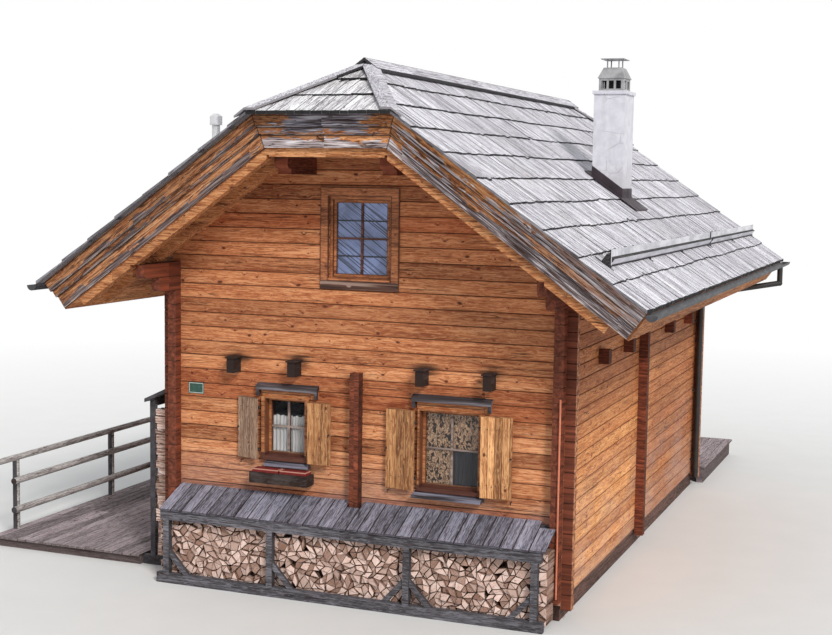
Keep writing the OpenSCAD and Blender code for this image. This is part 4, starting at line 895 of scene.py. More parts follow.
def barge_finish():
    """Finish of the barge boards: honey timber that greys towards each board's lower edge and the eaves, with
    painted shade on the left slope, painted sunlight on the right slope and painted shadow lines below each
    board's edge.
    """
    crack = settings("wood").crack
    top, rise, hip = roof_slope()
    fin = Finish("barge_timber")
    place, _ = fin.coordinates()
    x, y, z = fin.split(place)
    out = abs(x)
    below = (top - out * rise - z) * (1 / math.sqrt(1 + rise * rise))
    level = top - rise * hip - z
    depth = fin.least(below, level)
    layer = fin.rise(depth, 0.184, 0.186) + fin.rise(depth, 0.276, 0.278)
    bend = below < level
    part = fin.floor((out + layer * 0.8) / 2.6)
    key = fin.join(layer, bend + fin.math("SIGN", x) * 3.0, part)
    tone = fin.chance(key)
    grain = fin.moved(fin.join(x * 1.2, depth, y), fin.scaled(key, (1.7, 0.37, 0.53)))
    colour, relief, streak = timber_colour(fin, grain, tone, *tones("roof", "honey"), knots=0.35)
    ragged = fin.stretched(grain, (3.2, 20.0, 20.0), 6.0, 0.8)
    broad = fin.stretched(grain, (0.9, 3.0, 3.0), 2.0)
    shake = (ragged - 0.5) * 0.3 + (broad - 0.5) * 0.25
    deep = depth + shake
    # the right slope, which weathers further and is painted as sunlit
    weather_and_sunlit_side = (x > 0.0) * bend
    first = depth < 0.185
    second = (depth < 0.277) * (depth > 0.185)
    third = depth > 0.277
    level_part = 1.0 - bend
    sooner = weather_and_sunlit_side * 0.08 + level_part * 0.05
    last = third * fin.rise(deep + sooner, 0.375, 0.385)
    second *= fin.rise(deep + weather_and_sunlit_side * 0.03, 0.265, 0.275)
    foot = first * fin.rise(deep + weather_and_sunlit_side * 0.04, 0.16, 0.17)
    middle = fin.rise(out + shake * 2.5, 0.5, 0.46) * fin.rise(deep, 0.24, 0.23)
    eaves = fin.rise(out + shake * 5.0, 2.2, 3.8, 0.0, 0.7)
    worn = fin.most(last, second, foot, middle, eaves * weather_and_sunlit_side)
    fine = fin.stretched(grain, (2.6, 70.0, 70.0), 4.0, 0.5)
    # painted shade: the left slope's boards darker and bluer
    colour = fin.darkened(x < 0.0, colour, (0.74, 0.76, 0.84))
    bleach = fin.ramp(
        fine, (0.38, (0.03, 0.028, 0.034)), (0.46, (0.14, 0.135, 0.165)),
        (0.54, (0.27, 0.26, 0.31)), (0.65, (0.55, 0.53, 0.57)),
    )
    paler = fin.ramp(
        fine, (0.38, (0.05, 0.045, 0.05)), (0.47, (0.3, 0.25, 0.26)),
        (0.55, (0.5, 0.44, 0.46)), (0.65, (0.8, 0.77, 0.8)),
    )
    # weathered grey; the paler grey on the right slope is painted sunlight, and the level part's lowest board
    # takes it too
    bleach = fin.mix(fin.most(weather_and_sunlit_side, level_part * third), bleach, paler)
    # painted shade: the left slope's weathered grey darker and browner
    shaded_left_side = (x < 0.0) * bend
    bleach = fin.darkened(shaded_left_side * 0.85, bleach, (0.4, 0.31, 0.26))
    black = fin.ramp(
        fine + (ragged - 0.5) * 0.5,
        (0.44, (0.02, 0.018, 0.022)), (0.56, (0.11, 0.1, 0.115)), (0.66, (0.5, 0.46, 0.48)),
    )
    bleach = fin.mix(third * fin.rise(x, 0.9, 1.3, 0.1, 0.85), bleach, black)
    colour = fin.mix(worn * 0.92, colour, bleach)
    gnawed = fin.rise(fine, 0.44, 0.4) * fin.rise(ragged, 0.47, 0.55)
    colour = fin.mix(fin.most(gnawed, fin.rise(ragged, 0.38, 0.35)) * 0.75, colour, crack)

    def lines(*places):
        """Thin lines at some depths, each with its width."""
        return fin.most(*(fin.line(depth, at, width) for at, width in places))

    clear = bend * fin.rise(broad, 0.4, 0.5, 0.35, 0.95)
    inner = lines((0.118, 0.007), (0.236, 0.006), (0.34, 0.006)) * clear
    # painted shadow: dark lines just below each board's lower edge and below the roof boards, joined with the
    # inner joint lines
    edge = fin.most(lines((0.188, 0.012), (0.281, 0.012), (0.045, 0.012)), inner)
    colour = fin.mix(edge * 0.9, colour, crack)
    rim = lines((0.18, 0.005), (0.272, 0.005), (0.44, 0.006)) * fin.rise(ragged, 0.45, 0.55, 0.0, 0.7)
    colour = fin.mix(rim, colour, (0.75, 0.62, 0.55))
    joint = fin.line(below - level, 0.0, 0.006)
    colour = fin.mix(joint, colour, crack)
    relief = relief + ragged * 0.5 - joint
    return fin.shine(colour, fin.rough(streak, 0.88, 0.7), relief, 0.005, 0.28)


class CHALET_OT_roof_edges(bpy.types.Operator):
    """Gives the barge boards, rafters, soffits and ridge caps their timber"""

    bl_idname = "chalet.roof_edges"
    bl_label = "Roof Edges"

    def execute(self, context):
        honey = tones("roof", "honey")
        dress(barge_finish(), "barge_boards_front", "barge_boards_rear")
        darker = (times(tone, 0.92) for tone in honey)
        dress(solid_finish("honey_rafters", "X", *darker, step=0.8, base=0.0, spread=0.35), "rafters")
        boards = {"step": 0.11, "base": 0.0, "spread": 0.6, "knots": 0.4}
        # shaded=0.3: painted shade, near black, on the faces that look up
        soffit = solid_finish("honey_soffit", "Y", *honey, shaded=0.3, **boards)
        dress(soffit, "roof_body_right", "roof_body_left", "roof_body_hips")
        dress(solid_finish("honey_eaves", "Y", *honey, **boards), "eave_boards")
        dress(self.caps(), "roof_caps")
        return {"FINISHED"}

    def caps(self):
        """Finish of the ridge and hip caps: silver planks whose sides are darker with painted shade, near
        black on the ridge, and a groove between them.
        """
        fin = Finish("silver_caps")
        grain, tone, _, (x, _, _) = solid_inputs(fin, "Y", 0.5, 6.1)
        _, _, upward = fin.split(fin.coordinates()[1])
        ridge = abs(x) < 0.2
        light, mid, dark = tones("roof", "silver")
        silver = (times(light, 0.8), times(mid, 0.68), dark)
        colour, relief, streak = timber_colour(fin, grain, tone, *silver, knots=0.1, spread=0.2)
        fine = fin.stretched(grain, (1.0, 60.0, 60.0), 2.0)
        colour = fin.mix(fin.rise(fine, 0.55, 0.6, 0.0, 0.7), colour, times(dark, 0.5))
        # painted shade: the caps' sides darker than their tops, near black on the ridge
        side = fin.mix(ridge, (0.24, 0.225, 0.24), (0.04, 0.037, 0.04))
        colour = fin.mix(fin.rise(upward, 0.45, 0.3), colour, side)
        groove = fin.line(x, 0.0, 0.012) * ridge
        colour = fin.mix(groove * 0.8, colour, settings("wood").crack)
        roughness = fin.rough(streak, 0.92, 0.76)
        return fin.shine(colour, roughness, relief, 0.004, 0.25)


def guard_finish():
    """Finish of the snow guards: a pale upright plate with folded ribs before a timber painted near black, as
    the shadow beneath the plate.
    """
    fin = Finish("guard_plate_and_timber")
    place, normal = fin.coordinates()
    nx, ny, nz = fin.split(normal)
    x, y, z = fin.split(place)
    out = abs(x)
    edge = fin.line(out, 3.414, 0.004) * (abs(ny) > 0.9)
    outward = fin.math("SIGN", x) * nx
    plate = fin.most(abs(nx) > 0.95, edge > 0.1, nz > 0.99, (outward > 0.7) * (abs(ny) < 0.3))
    top, rise, _ = roof_slope()
    above = z - (top - out * rise)
    # painted shade: close above the roof the plate takes the near-black timber colour
    plate *= fin.rise(above, 0.03, 0.05)
    rib = fin.line(fin.math("FRACT", y * 14.0), 0.5, 0.22)
    stain = fin.stretched(place, (9.0, 2.0, 9.0), 4.0)
    sheet = fin.mix(fin.rise(stain, 0.4, 0.62), (0.78, 0.77, 0.82), (0.5, 0.5, 0.54))
    sheet = fin.mix(rib * 0.75, sheet, (0.2, 0.2, 0.22))
    bark = fin.stretched(place, (60.0, 3.0, 60.0), 3.0)
    # painted shade: the timber near black
    timber = fin.ramp(
        bark, (0.38, (0.008, 0.008, 0.009)), (0.5, (0.022, 0.02, 0.021)), (0.64, (0.07, 0.062, 0.06))
    )
    colour = fin.mix(plate, timber, sheet)
    relief = rib * 0.5 + bark * 0.5
    return fin.shine(colour, fin.rise(plate, 0.0, 1.0, 0.85, 0.42), relief, 0.003, 0.4)


class CHALET_OT_roof_metal(bpy.types.Operator):
    """Gives the gutters, snow guards, pipes, chimney and lightning conductor their finish"""

    bl_idname = "chalet.roof_metal"
    bl_label = "Chimney and Metal"

    def execute(self, context):
        dress(plaster_finish(), "chimney")
        dress(metal_finish("weathered_zinc", tuple(settings("roof").zinc), 0.42, 0.7), "chimney_cowl")
        low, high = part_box("chimney_cowl")
        flue = Pile(21)
        middle = (low + high) / 2
        foot = Vector((middle.x, middle.y, low.z))
        flue.bar(foot + Z * 0.012, foot + Z * 0.2, X, 0.25, 0.25, 0.01)
        soot = metal_finish("sooty_flue", (0.02, 0.018, 0.018), 0.8, 0.0, 0.6, (0.006, 0.006, 0.006))
        flue.piece("flue_lining", soot, "dark_metal")
        dress(guard_finish(), "snow_guards")
        dress(metal_finish("bright_steel", (0.66, 0.66, 0.68), 0.3, 0.75, 0.4), "vent_pipe")
        for node, name, colour, rough, shine, stains, dark in (
            ("gutters", "dark_zinc", (0.05, 0.05, 0.056), 0.5, 0.2, 0.7, (0.1, 0.1, 0.11)),
            ("downpipe", "black_iron", (0.03, 0.028, 0.028), 0.45, 0.5, 0.4, (0.08, 0.05, 0.035)),
            ("chimney_flashing", "brown_sheet", (0.05, 0.036, 0.045), 0.55, 0.45, 0.6, (0.02, 0.014, 0.018)),
            ("conductor", "old_copper", (0.62, 0.2, 0.11), 0.5, 0.3, 0.4, (0.25, 0.08, 0.045)),
        ):
            dress(metal_finish(name, colour, rough, shine, stains, dark), node)
        return {"FINISHED"}


# Windows and shutters

# Middles of the two lower windows, heads of the shutters and depth of the curtains, in metres
LEFT_WINDOW, RIGHT_WINDOW = -1.02, 1.26
SHUTTER_TOP = 2.495
CURTAIN_Y = -4.188


def window_finish(name, face, sill_low, sill_high, hood, casing, bar_tones, panes, lines):
    """Finish of a window's woodwork: lining with painted shade on its left reveal, casing, sash, darker bars,
    weathered sill and hood.

    A pane is its middle, height, half width and half height; a line is its distance from a pane and width.
    """
    honey_light, honey_mid, honey_dark = tones("roof", "honey")
    store = settings("store")
    fin = Finish(name)
    place, normal = fin.coordinates()
    x, y, z = fin.split(place)
    nx, _, _ = fin.split(normal)
    upright = fin.rise(abs(nx), 0.6, 0.7)
    flat = fin.join(x, z, y)
    stood = fin.join(z, x, y)
    grain = fin.out("ShaderNodeMix", {0: upright, 4: flat, 5: stood}, 1, data_type="VECTOR")
    tone = fin.chance(fin.join(upright, fin.floor(z * 4.0), 0.0))
    orange = tuple(a * b for a, b in zip(honey_mid, (0.8, 0.66, 0.55)))
    light, mid = (times(casing, 1.8), casing) if casing else (times(honey_light, 0.75), orange)
    how = {"knots": 0.15, "cracks": 0.8, "spread": 0.4}
    colour, relief, streak = timber_colour(fin, grain, tone, light, mid, honey_dark, **how)
    colour = fin.mix(upright * 0.5, colour, orange)
    outside, painted_reveal_shade, sash_y = 9.0, 0.0, -4.236
    for middle, height, half, tall in panes:
        aside = x - middle
        across = abs(aside) - half
        along = abs(z - height) - tall
        outside = fin.least(outside, fin.most(across, along))
        # painted shade: the left reveal, whose faces look right, is made dark
        left = fin.rise(nx, 0.6, 0.7) * (abs(aside + 0.3) < 0.28)
        painted_reveal_shade = fin.most(painted_reveal_shade, left)
    front = fin.rise(y, 0.0, -0.1)
    bars = (outside < 0.0) * (fin.rise(y, sash_y - 0.0005, sash_y + 0.0005) * front)
    colour = fin.mix(bars * 0.9, colour, fin.ramp(streak, (0.4, bar_tones[0]), (0.6, bar_tones[1])))
    for reach, wide in lines:
        seam = fin.line(outside, reach, wide) * front
        colour = fin.mix(seam * 0.85, colour, settings("wood").crack)
    colour = fin.mix(painted_reveal_shade * front * 0.7, colour, (0.045, 0.014, 0.009))
    bottom = z < fin.rise(x, -0.01, 0.01, sill_low + 0.1, sill_high + 0.085)
    bottom = bottom * fin.rise(y, 0.0, -0.1) * (z < 3.5)
    colour = fin.mix(bottom * 0.9, colour, (0.06, 0.017, 0.014))
    bleach = fin.ramp(streak, (0.38, store.frame_dark), (0.5, store.slate_mid), (0.66, store.slate_light))
    sill = fin.rise(x, -0.01, 0.01, sill_low, sill_high)
    under = (z < sill) * (y < face)
    over = fin.most((z > hood) * (y < face - 0.022), z > hood + 0.118)
    rot = fin.ramp(streak, (0.4, store.frame_dark), (0.56, (0.07, 0.055, 0.06)), (0.7, (0.2, 0.18, 0.2)))
    brown = fin.ramp(
        streak, (0.4, (0.025, 0.009, 0.006)), (0.52, (0.1, 0.045, 0.03)), (0.64, (0.3, 0.2, 0.16))
    )
    colour = fin.mix(under, colour, brown if casing else bleach)
    colour = fin.mix(over, colour, rot)
    return fin.shine(colour, fin.rough(streak, 0.75, 0.55), relief, 0.002, 0.35)


def cafe_curtain(name, left, right, low, high, folds, scallop, finish):
    """A café curtain, or one half of it: a pleated cotton sheet with a scalloped or straight head."""
    columns, rows = 60, 14
    points, faces = [], []
    for j in range(rows + 1):
        v = j / rows
        for i in range(columns + 1):
            u = i / columns
            top = high - scallop * abs(math.sin(math.pi * u * 3))
            deep = 0.010 + 0.004 * v
            fold = deep * math.sin(2 * math.pi * folds * u + 0.5 * math.sin(5 * u))
            y = CURTAIN_Y + fold + 0.003 * math.sin(23 * u + 2 * v)
            points.append((left + (right - left) * u, y, top + (low - top) * v))
    for j in range(rows):
        for i in range(columns):
            a = j * (columns + 1) + i
            faces.append((a, a + 1, a + columns + 2, a + columns + 1))
    sheet = new_object(name, points, faces, finish)
    for polygon in sheet.data.polygons:
        polygon.use_smooth = True
    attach(sheet, "house")
    return sheet


class CHALET_OT_windows(bpy.types.Operator):
    """Finishes the window frames and adds the glazing bars, curtain rods and café curtains"""

    bl_idname = "chalet.windows"
    bl_label = "Windows"

    def execute(self, context):
        window = settings("window")
        gable = window_finish(
            "gable_window_wood", -4.315, 4.066, 4.066, 9.0, (0.34, 0.125, 0.05),
            ((0.03, 0.012, 0.008), (0.13, 0.045, 0.03)), ((0.0, 4.605, 0.346, 0.451),),
            ((0.004, 0.007), (0.045, 0.005), (0.088, 0.014), (0.192, 0.012)),
        )
        lower = window_finish(
            "lower_window_wood", -4.3, 1.668, 1.458, 2.514, None, ((0.1, 0.08, 0.075), (0.34, 0.28, 0.25)),
            ((LEFT_WINDOW, 2.113, 0.245, 0.335), (RIGHT_WINDOW, 2.0, 0.348, 0.448)),
            ((0.004, 0.006), (0.05, 0.006), (0.104, 0.01)),
        )
        dress(gable, "gable_window", "rear_door")
        dress(lower, "left_window", "right_window")
        dress(glass_finish("old_glass", tuple(window.glass), tuple(window.dark_glass), 3.5), "window_glass")
        self.metal(metal_finish("bar_iron", (0.035, 0.033, 0.035), 0.5, 0.3, 0.3))
        cotton = cloth_finish("curtain_cotton", tuple(window.curtain))
        low, high = 1.755, 2.265
        cafe_curtain("left_curtain_a", -1.295, -1.035, low, high, 5, 0.02, cotton)
        cafe_curtain("left_curtain_b", -1.005, -0.745, low, high, 6, 0.02, cotton)
        second = cafe_curtain("right_curtain", 0.90, 1.62, 1.54, 2.06, 14, 0.0, cotton)
        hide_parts("curtains")
        return {"FINISHED"}

    def metal(self, iron):
        """Glazing bars of the front and rear gable windows, and the rods of the curtains."""
        half, bar_y = 0.35, 4.221
        bars = Pile(31)
        for y in (-bar_y, bar_y):
            for height in (4.38, 4.83):
                bars.bar(Vector((-half, y, height)), Vector((half, y, height)), Z, 0.014, 0.012, 0.002)
        bars.piece("glazing_bars", iron, "dark_metal")
        rods = Pile(32)
        for left, right, height in ((-1.30, -0.74, 2.265), (0.90, 1.62, 2.06)):
            rods.rod(Vector((left, CURTAIN_Y, height)), Vector((right, CURTAIN_Y, height)), 0.005)
        rods.piece("curtain_rods", iron, "dark_metal")


class CHALET_OT_shutters(bpy.types.Operator):
    """Builds the four boarded shutters with their ledges, straps and knobs"""

    bl_idname = "chalet.shutters"
    bl_label = "Shutters"

    def execute(self, context):
        window = settings("window")
        warm = tones("window", "shutter")
        honey = board_finish("shutter_honey", *warm, knots=0.45, cracks=1.0, spread=0.65)
        pale = ((0.5, 0.36, 0.26), (0.34, 0.2, 0.13), (0.15, 0.085, 0.06))
        grey = board_finish("shutter_weathered", *pale, knots=0.45, cracks=1.0, spread=0.5)
        iron = metal_finish("shutter_iron", (0.03, 0.028, 0.028), 0.5, 0.5, 0.5, (0.07, 0.04, 0.03))
        small = {"hinge": 0.349, "width": 0.343, "low": 1.68, "count": 3}
        large = {"hinge": 0.424, "width": 0.418, "low": 1.47, "count": 4}
        self.stays(iron)
        for name, middle, way, lean, finish, size in (
            ("left_shutter_a", LEFT_WINDOW, -1, 14.0, grey, small),
            ("left_shutter_b", LEFT_WINDOW, 1, 0.0, honey, small),
            ("right_shutter_a", RIGHT_WINDOW, -1, 8.0, honey, large),
            ("right_shutter_b", RIGHT_WINDOW, 1, 5.0, honey, large),
        ):
            hinge = Matrix.Translation((middle + way * size["hinge"], -window.hinge_y, size["low"]))
            turn = hinge @ Matrix.Rotation(math.radians(way * lean), 4, "Z") @ Matrix.Diagonal((way, 1, 1, 1))
            self.leaf(name, turn, size["width"], SHUTTER_TOP - size["low"], finish, iron, size["count"])
        return {"FINISHED"}

    def stays(self, iron):
        """A pin in the wall with a turned catch below each shutter."""
        wall, tip, catch = -4.3, -4.36, -4.356
        stays = Pile(34)
        for x, z in ((-1.66, 1.64), (-0.72, 1.64), (0.44, 1.43), (2.08, 1.43)):
            stays.rod(Vector((x, wall, z)), Vector((x, tip, z)), 0.006)
            stays.rod(Vector((x, catch, z - 0.03)), Vector((x, catch, z + 0.012)), 0.007)
        stays.piece("shutter_stays", iron, "dark_metal")

    def leaf(self, name, turn, width, height, finish, iron, count):
        """One leaf, drawn with its hinge line at the origin and its outer face towards -Y."""
        window = settings("window")

        def at(x, y, z):
            """A point of the leaf."""
            return turn @ Vector((x, y, z))

        def way(x, y, z):
            """A direction of the leaf."""
            return (at(x, y, z) - at(0, 0, 0)).normalized()

        thick, left = window.leaf_t, window.leaf_start
        middle = -window.leaf_back - thick / 2
        face = middle - thick / 2
        edge, top, ease = 0.034, height - 0.012, 0.003
        ledges = (height * 0.16, height * 0.84)
        across = way(1, 0, 0)
        pile = Pile(sum(map(ord, name)))
        run = width - left
        x = left
        for w in widths(pile.chance, run - edge, run / (count + 0.6), run / (count - 0.2)):
            drop = pile.chance.uniform(0, 0.006)
            foot, tip = (at(x + w / 2, middle, z) for z in (drop, top))
            pile.bar(foot, tip, across, w - window.board_gap, thick, ease)
            x += w
        rim = width - edge / 2
        pile.bar(at(rim, middle, 0.0), at(rim, middle, top), across, edge - 0.005, thick, ease)
        head = height - 0.006
        pile.bar(at(left, middle, head), at(width, middle, head), way(0, 1, 0), thick, 0.012, 0.002, tone=0.1)
        for z in ledges:
            pile.bar(at(0.026, 0.006, z), at(width - 0.024, 0.006, z), Z, 0.07, 0.018, ease)
        pile.piece(name + "_boards", finish, "shutter_wood", name, body=name)
        metal = Pile(5)
        for z in ledges:
            metal.rod(at(0, 0, z - 0.025), at(0, 0, z + 0.025), 0.010, 12)
            metal.bar(at(0.0, 0.0, z), at(0.04, 0.0, z), Z, 0.036, 0.006, 0.001)
            for k in range(3):
                nail = 0.1 + k * width * 0.28
                metal.rod(at(nail, face, z), at(nail, face - 0.003, z), 0.006)
        knob, out = at(rim, face, height * 0.5), way(0, -1, 0)
        metal.rod(knob, knob + out * 0.012, 0.005)
        metal.rod(knob + out * 0.012, knob + out * 0.024, 0.013, 12)
        metal.piece(name + "_iron", iron, "dark_metal", body=name)


class CHALET_OT_flower_box(bpy.types.Operator):
    """Finishes the flower box with its planters, and the bare number plate"""

    bl_idname = "chalet.flower_box"
    bl_label = "Flower Box and Plate"

    def execute(self, context):
        box_red, wood = settings("window").box_red, settings("wood")
        planter_half, planter_y, planter_top = (0.1875, 0.08), -4.44, 1.57
        fin = Finish("flower_box_wood")
        grain, tone, _, (x, y, z) = solid_inputs(fin, "X", 0.07, 1.398)
        black = ((0.06, 0.045, 0.04), (0.02, 0.014, 0.012), wood.crack)
        colour, relief, streak = timber_colour(fin, grain, tone, *black, knots=0.1, spread=0.4)
        rot = fin.rise(fin.noise(fin.join(x, y, z), 5.0, 4.0), 0.5, 0.6)
        colour = fin.mix(rot * 0.06, colour, wood.grey)
        centre = fin.rise(x, -1.021, -1.019, -1.2195, -0.8205)
        across = planter_half[0] - abs(x - centre)
        along = planter_half[1] - abs(y - planter_y)
        rim = fin.rise(fin.least(across, along), 0.016, 0.013)
        clay = fin.noise(fin.join(x, y, z), 20.0, 4.0)
        red = fin.mix(fin.rise(clay, 0.35, 0.65), box_red, times(box_red, 1.4))
        red = fin.mix(rim * (z > planter_top), red, (0.5, 0.25, 0.19))
        colour = fin.mix(z > 1.5385, colour, red)
        roughness = fin.rough(streak, 0.85, 0.6)
        dress(fin.shine(colour, roughness, relief, 0.003, 0.15), "flower_box")
        dress(self.enamel(), "number_plate")
        return {"FINISHED"}

    def enamel(self):
        """Finish of the bare plate: dark green enamel with a pale line inside its edge."""
        low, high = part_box("number_plate")
        fin = Finish("plate_enamel")
        place, _ = fin.coordinates()
        x, _, z = fin.split(place)
        middle, size = (low + high) / 2, (high - low) / 2
        across = size.x - abs(x - middle.x)
        along = size.z - abs(z - middle.z)
        line = fin.line(fin.least(across, along), 0.011, 0.006)
        wear = fin.noise(place, 45.0, 4.0)
        green = fin.mix(fin.rise(wear, 0.4, 0.65), (0.016, 0.055, 0.04), (0.03, 0.1, 0.07))
        colour = fin.mix(line * fin.rise(wear, 0.35, 0.5, 0.6, 1.0), green, (0.72, 0.75, 0.72))
        return fin.shine(colour, fin.rough(wear, 0.28, 0.5), wear, 0.0006, 0.5)


# Stores, firewood and deck


def split_points(chance, width, height, size):
    """Scattered corners of split logs in a rectangle and along its edges."""
    points = [(0.0, 0.0), (width, 0.0), (width, height), (0.0, height)]
    for run, other, upright in ((width, height, False), (height, width, True)):
        count = max(1, round(run / size))
        for k in range(1, count):
            t = (k + chance.uniform(-0.25, 0.25)) * run / count
            points += [(end, t) if upright else (t, end) for end in (0.0, other)]
    margin = size * 0.3
    rows = max(2, round(height / (size * 0.86)))
    for j in range(1, rows):
        count = round(width / size)
        for i in range(count):
            u = (i + 0.5 + (0.25 if j % 2 else -0.25) + chance.uniform(-0.33, 0.33)) * width / count
            v = (j + chance.uniform(-0.33, 0.33)) * height / rows
            if margin < u < width - margin and margin < v < height - margin:
                points.append((u, v))
    return [Vector(p) for p in points]


def split_shapes(chance, width, height, size):
    """Ends of split logs that fill a rectangle: triangles and four-sided pieces."""
    verts, _, faces, *_ = delaunay_2d_cdt(split_points(chance, width, height, size), [], [], 0, 1e-6)
    faces = [list(face) for face in faces]
    sides = {}
    for index, face in enumerate(faces):
        for a, b in zip(face, face[1:] + face[:1]):
            sides.setdefault(frozenset((a, b)), []).append(index)
    joins = sorted((sorted(key), pair) for key, pair in sides.items() if len(pair) == 2)
    chance.shuffle(joins)
    used, shapes = set(), []
    for (a, b), (f, g) in joins:
        if f in used or g in used or chance.random() > 0.4:
            continue
        first, second = faces[f], faces[g]
        apex, other = (next(v for v in face if v not in (a, b)) for face in (first, second))
        i = first.index(apex)
        quad = [apex, first[(i + 1) % 3], other, first[(i + 2) % 3]]
        corners = [Vector(verts[v]) for v in quad]
        runs = [corners[(k + 1) % 4] - corners[k] for k in range(4)]
        turns = [runs[k].cross(runs[(k + 1) % 4]) for k in range(4)]
        if min(turns) > 0.0008 or max(turns) < -0.0008:
            shapes.append(corners)
            used.update((f, g))
    shapes += [[Vector(verts[v]) for v in face] for index, face in enumerate(faces) if index not in used]
    return shapes


def stack(pile, corner, across, up, into, width, height, size, deep):
    """Split logs stacked in a rectangle that starts at a corner; into points away from the ends that show."""
    uniform = pile.chance.uniform
    for shape in split_shapes(pile.chance, width, height, size):
        middle = sum(shape, Vector((0, 0))) / len(shape)
        area = abs(sum(a.cross(b) for a, b in zip(shape, shape[1:] + shape[:1]))) / 2
        if area < size * size * 0.1:
            continue
        ends = []
        gap = uniform(0.0015, 0.006)
        if pile.chance.random() < 0.03:
            continue
        for i, point in enumerate(shape):
            before, after = shape[i - 1], shape[(i + 1) % len(shape)]
            inner = point + (middle - point).normalized() * gap * 1.6
            ends += [inner + (before - point) * 0.06, inner + (after - point) * 0.06]
        out = uniform(-0.015, 0.045)
        tilt = Vector((uniform(-0.12, 0.12), uniform(-0.12, 0.12)))

        def place(p, back):
            """A point of the log; only its front end is tilted."""
            slant = (p - middle).dot(tilt) if back < 0.02 else 0.0
            return corner + across * p.x + up * p.y + into * (back + out + slant)

        small = [middle + (p - middle) * (1 - 0.004 / max((p - middle).length, 0.01)) for p in ends]
        rings = [[place(p, back) for p in ring] for ring, back in ((small, 0.0), (ends, 0.004), (ends, deep))]
        heart = corner + across * shape[0].x + up * shape[0].y
        pile.loops(rings, into, across, origin=heart, tone=pile.chance.random())


def firewood_finish(name, bark):
    """Finish of split firewood: pale ends with rings and checks, some browned, and sides with some bark."""
    light, mid, dark = tones("store", "wood")
    fin = Finish(name)
    grain, tone, cut = board_inputs(fin)
    ends = end_grain_colour(fin, grain, light, mid)
    ends = fin.mix(fin.rise(tone, 0.3, 1.0, 0.0, 0.95), ends, times(mid, 0.62))
    old = fin.chance(fin.join(tone * 91.0, 0.0, 0.0)) > 0.74
    ends = fin.mix(old * 0.75, ends, dark)
    sides, relief, streak = timber_colour(fin, grain, tone, light, mid, dark, 0.1, 0.6, 0.7)
    sides = fin.mix(bark, sides, fin.ramp(streak, (0.4, settings("wood").crack), (0.6, dark)))
    blot = fin.noise(fin.moved(grain, fin.join(tone * 17.0, 0.0, 0.0)), 25.0, 3.0)
    ends = fin.mix(fin.rise(blot, 0.55, 0.7, 0.0, 0.4), ends, dark)
    colour = fin.mix(cut, sides, ends)
    return fin.shine(colour, fin.rough(streak, 0.92, 0.8), relief, 0.003, 0.2)


class CHALET_OT_front_store(bpy.types.Operator):
    """Boards the roof of the front wood store and fills it with split firewood"""

    bl_idname = "chalet.front_store"
    bl_label = "Front Wood Store"

    def execute(self, context):
        self.roof()
        posts = tones("store", "frame")
        frame_wood = {"step": 0.6, "base": 0.0, "spread": 0.3, "knots": 0.0, "end": posts[1:]}
        dress(solid_finish("store_posts", "X", *posts, **frame_wood), "store_frame")
        self.firewood()
        return {"FINISHED"}

    def roof(self):
        """Sloping boards over the store, shorter at the back where the corner and the cross wall stand."""
        store = settings("store")
        slate = tones("store", "slate")
        # side=0.95 paints shade on the boards' upright sides
        finish = board_finish("slate_boards", *slate, 0.0, 1.0, 0.5, end=slate[1:], side=0.95)
        low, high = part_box("store_roof")
        thick, notch, wall_half, walls = 0.024, 0.136, 0.07, (0.0, 2.605)
        fall = (high.z - low.z - thick) / (high.y - low.y)
        pile = Pile(41)
        uniform = pile.chance.uniform

        def at(x, y, lift):
            """A point halfway through a board."""
            return Vector((x, y, high.z - thick / 2 - fall * (high.y - y) + lift))

        x = low.x
        for w in widths(pile.chance, high.x - low.x, store.roof_board * 0.8, store.roof_board * 1.3):
            met = any(x < wall + wall_half and x + w > wall - wall_half for wall in walls)
            back = high.y - notch if met else high.y
            foot = low.y + uniform(0.0, 0.014)
            lift = uniform(-0.002, 0.002)
            middle = x + w / 2
            a, b = at(middle, back, lift), at(middle, foot, lift)
            pile.bar(a, b, X, w - uniform(0.005, 0.012), thick, 0.005)
            x += w
        pile.piece("store_roof_boards", finish, "grey_wood", "store_roof")

    def firewood(self):
        """Split logs in the store's three bays, and dark boards behind them, painted shade in the depth of
        the stack.
        """
        store = settings("store")
        low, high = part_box("store_firewood")
        edges = [low.x, -0.99, 0.90, high.x]
        bays = list(zip(edges, edges[1:]))
        tall, deep = high.z - low.z, high.y - low.y - 0.02
        logs = Pile(42)
        for left, right in bays:
            corner = Vector((left + 0.004, low.y, low.z))
            stack(logs, corner, X, Z, Y, right - left - 0.008, tall, store.split, deep)
        logs.piece("front_firewood", firewood_finish("front_split_wood", 0.75), "firewood", "store_firewood")
        # painted shade: dark boards behind the logs, seen through the gaps between them
        core = Pile(43)
        back, middle = high.y - 0.05, 0.5 * (low.z + high.z)
        for left, right in bays:
            a, b = Vector((left + 0.02, back, middle)), Vector((right - 0.02, back, middle))
            core.bar(a, b, Z, tall - 0.04, 0.1, 0.004, tone=0.1)
        dark = (store.wood_dark, (0.08, 0.045, 0.03), (0.03, 0.02, 0.015))
        core.piece("front_firewood_core", board_finish("shaded_bark", *dark, knots=0.1), "firewood")


class CHALET_OT_side_store(bpy.types.Operator):
    """Finishes the side wood store and fills it with split logs laid crosswise"""

    bl_idname = "chalet.side_store"
    bl_label = "Side Wood Store"

    def execute(self, context):
        posts = tones("store", "frame")
        frame_wood = {"step": 0.6, "base": 0.0, "spread": 0.4, "end": posts[1:]}
        dress(solid_finish("side_store_posts", "Y", *posts, **frame_wood), "side_store")
        low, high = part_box("side_firewood")
        pile = Pile(51)
        corner = Vector((low.x, high.y, low.z))
        deep = high.x - low.x - 0.005
        stack(pile, corner, -Y, Z, X, high.y - low.y, high.z - low.z, settings("store").split, deep)
        finish = firewood_finish("side_split_wood", 0.15)
        pile.piece("side_firewood_logs", finish, "firewood", "side_firewood")
        return {"FINISHED"}


# Edge of the rear platform behind its step board, in metres
PLATFORM_EDGE = 4.45


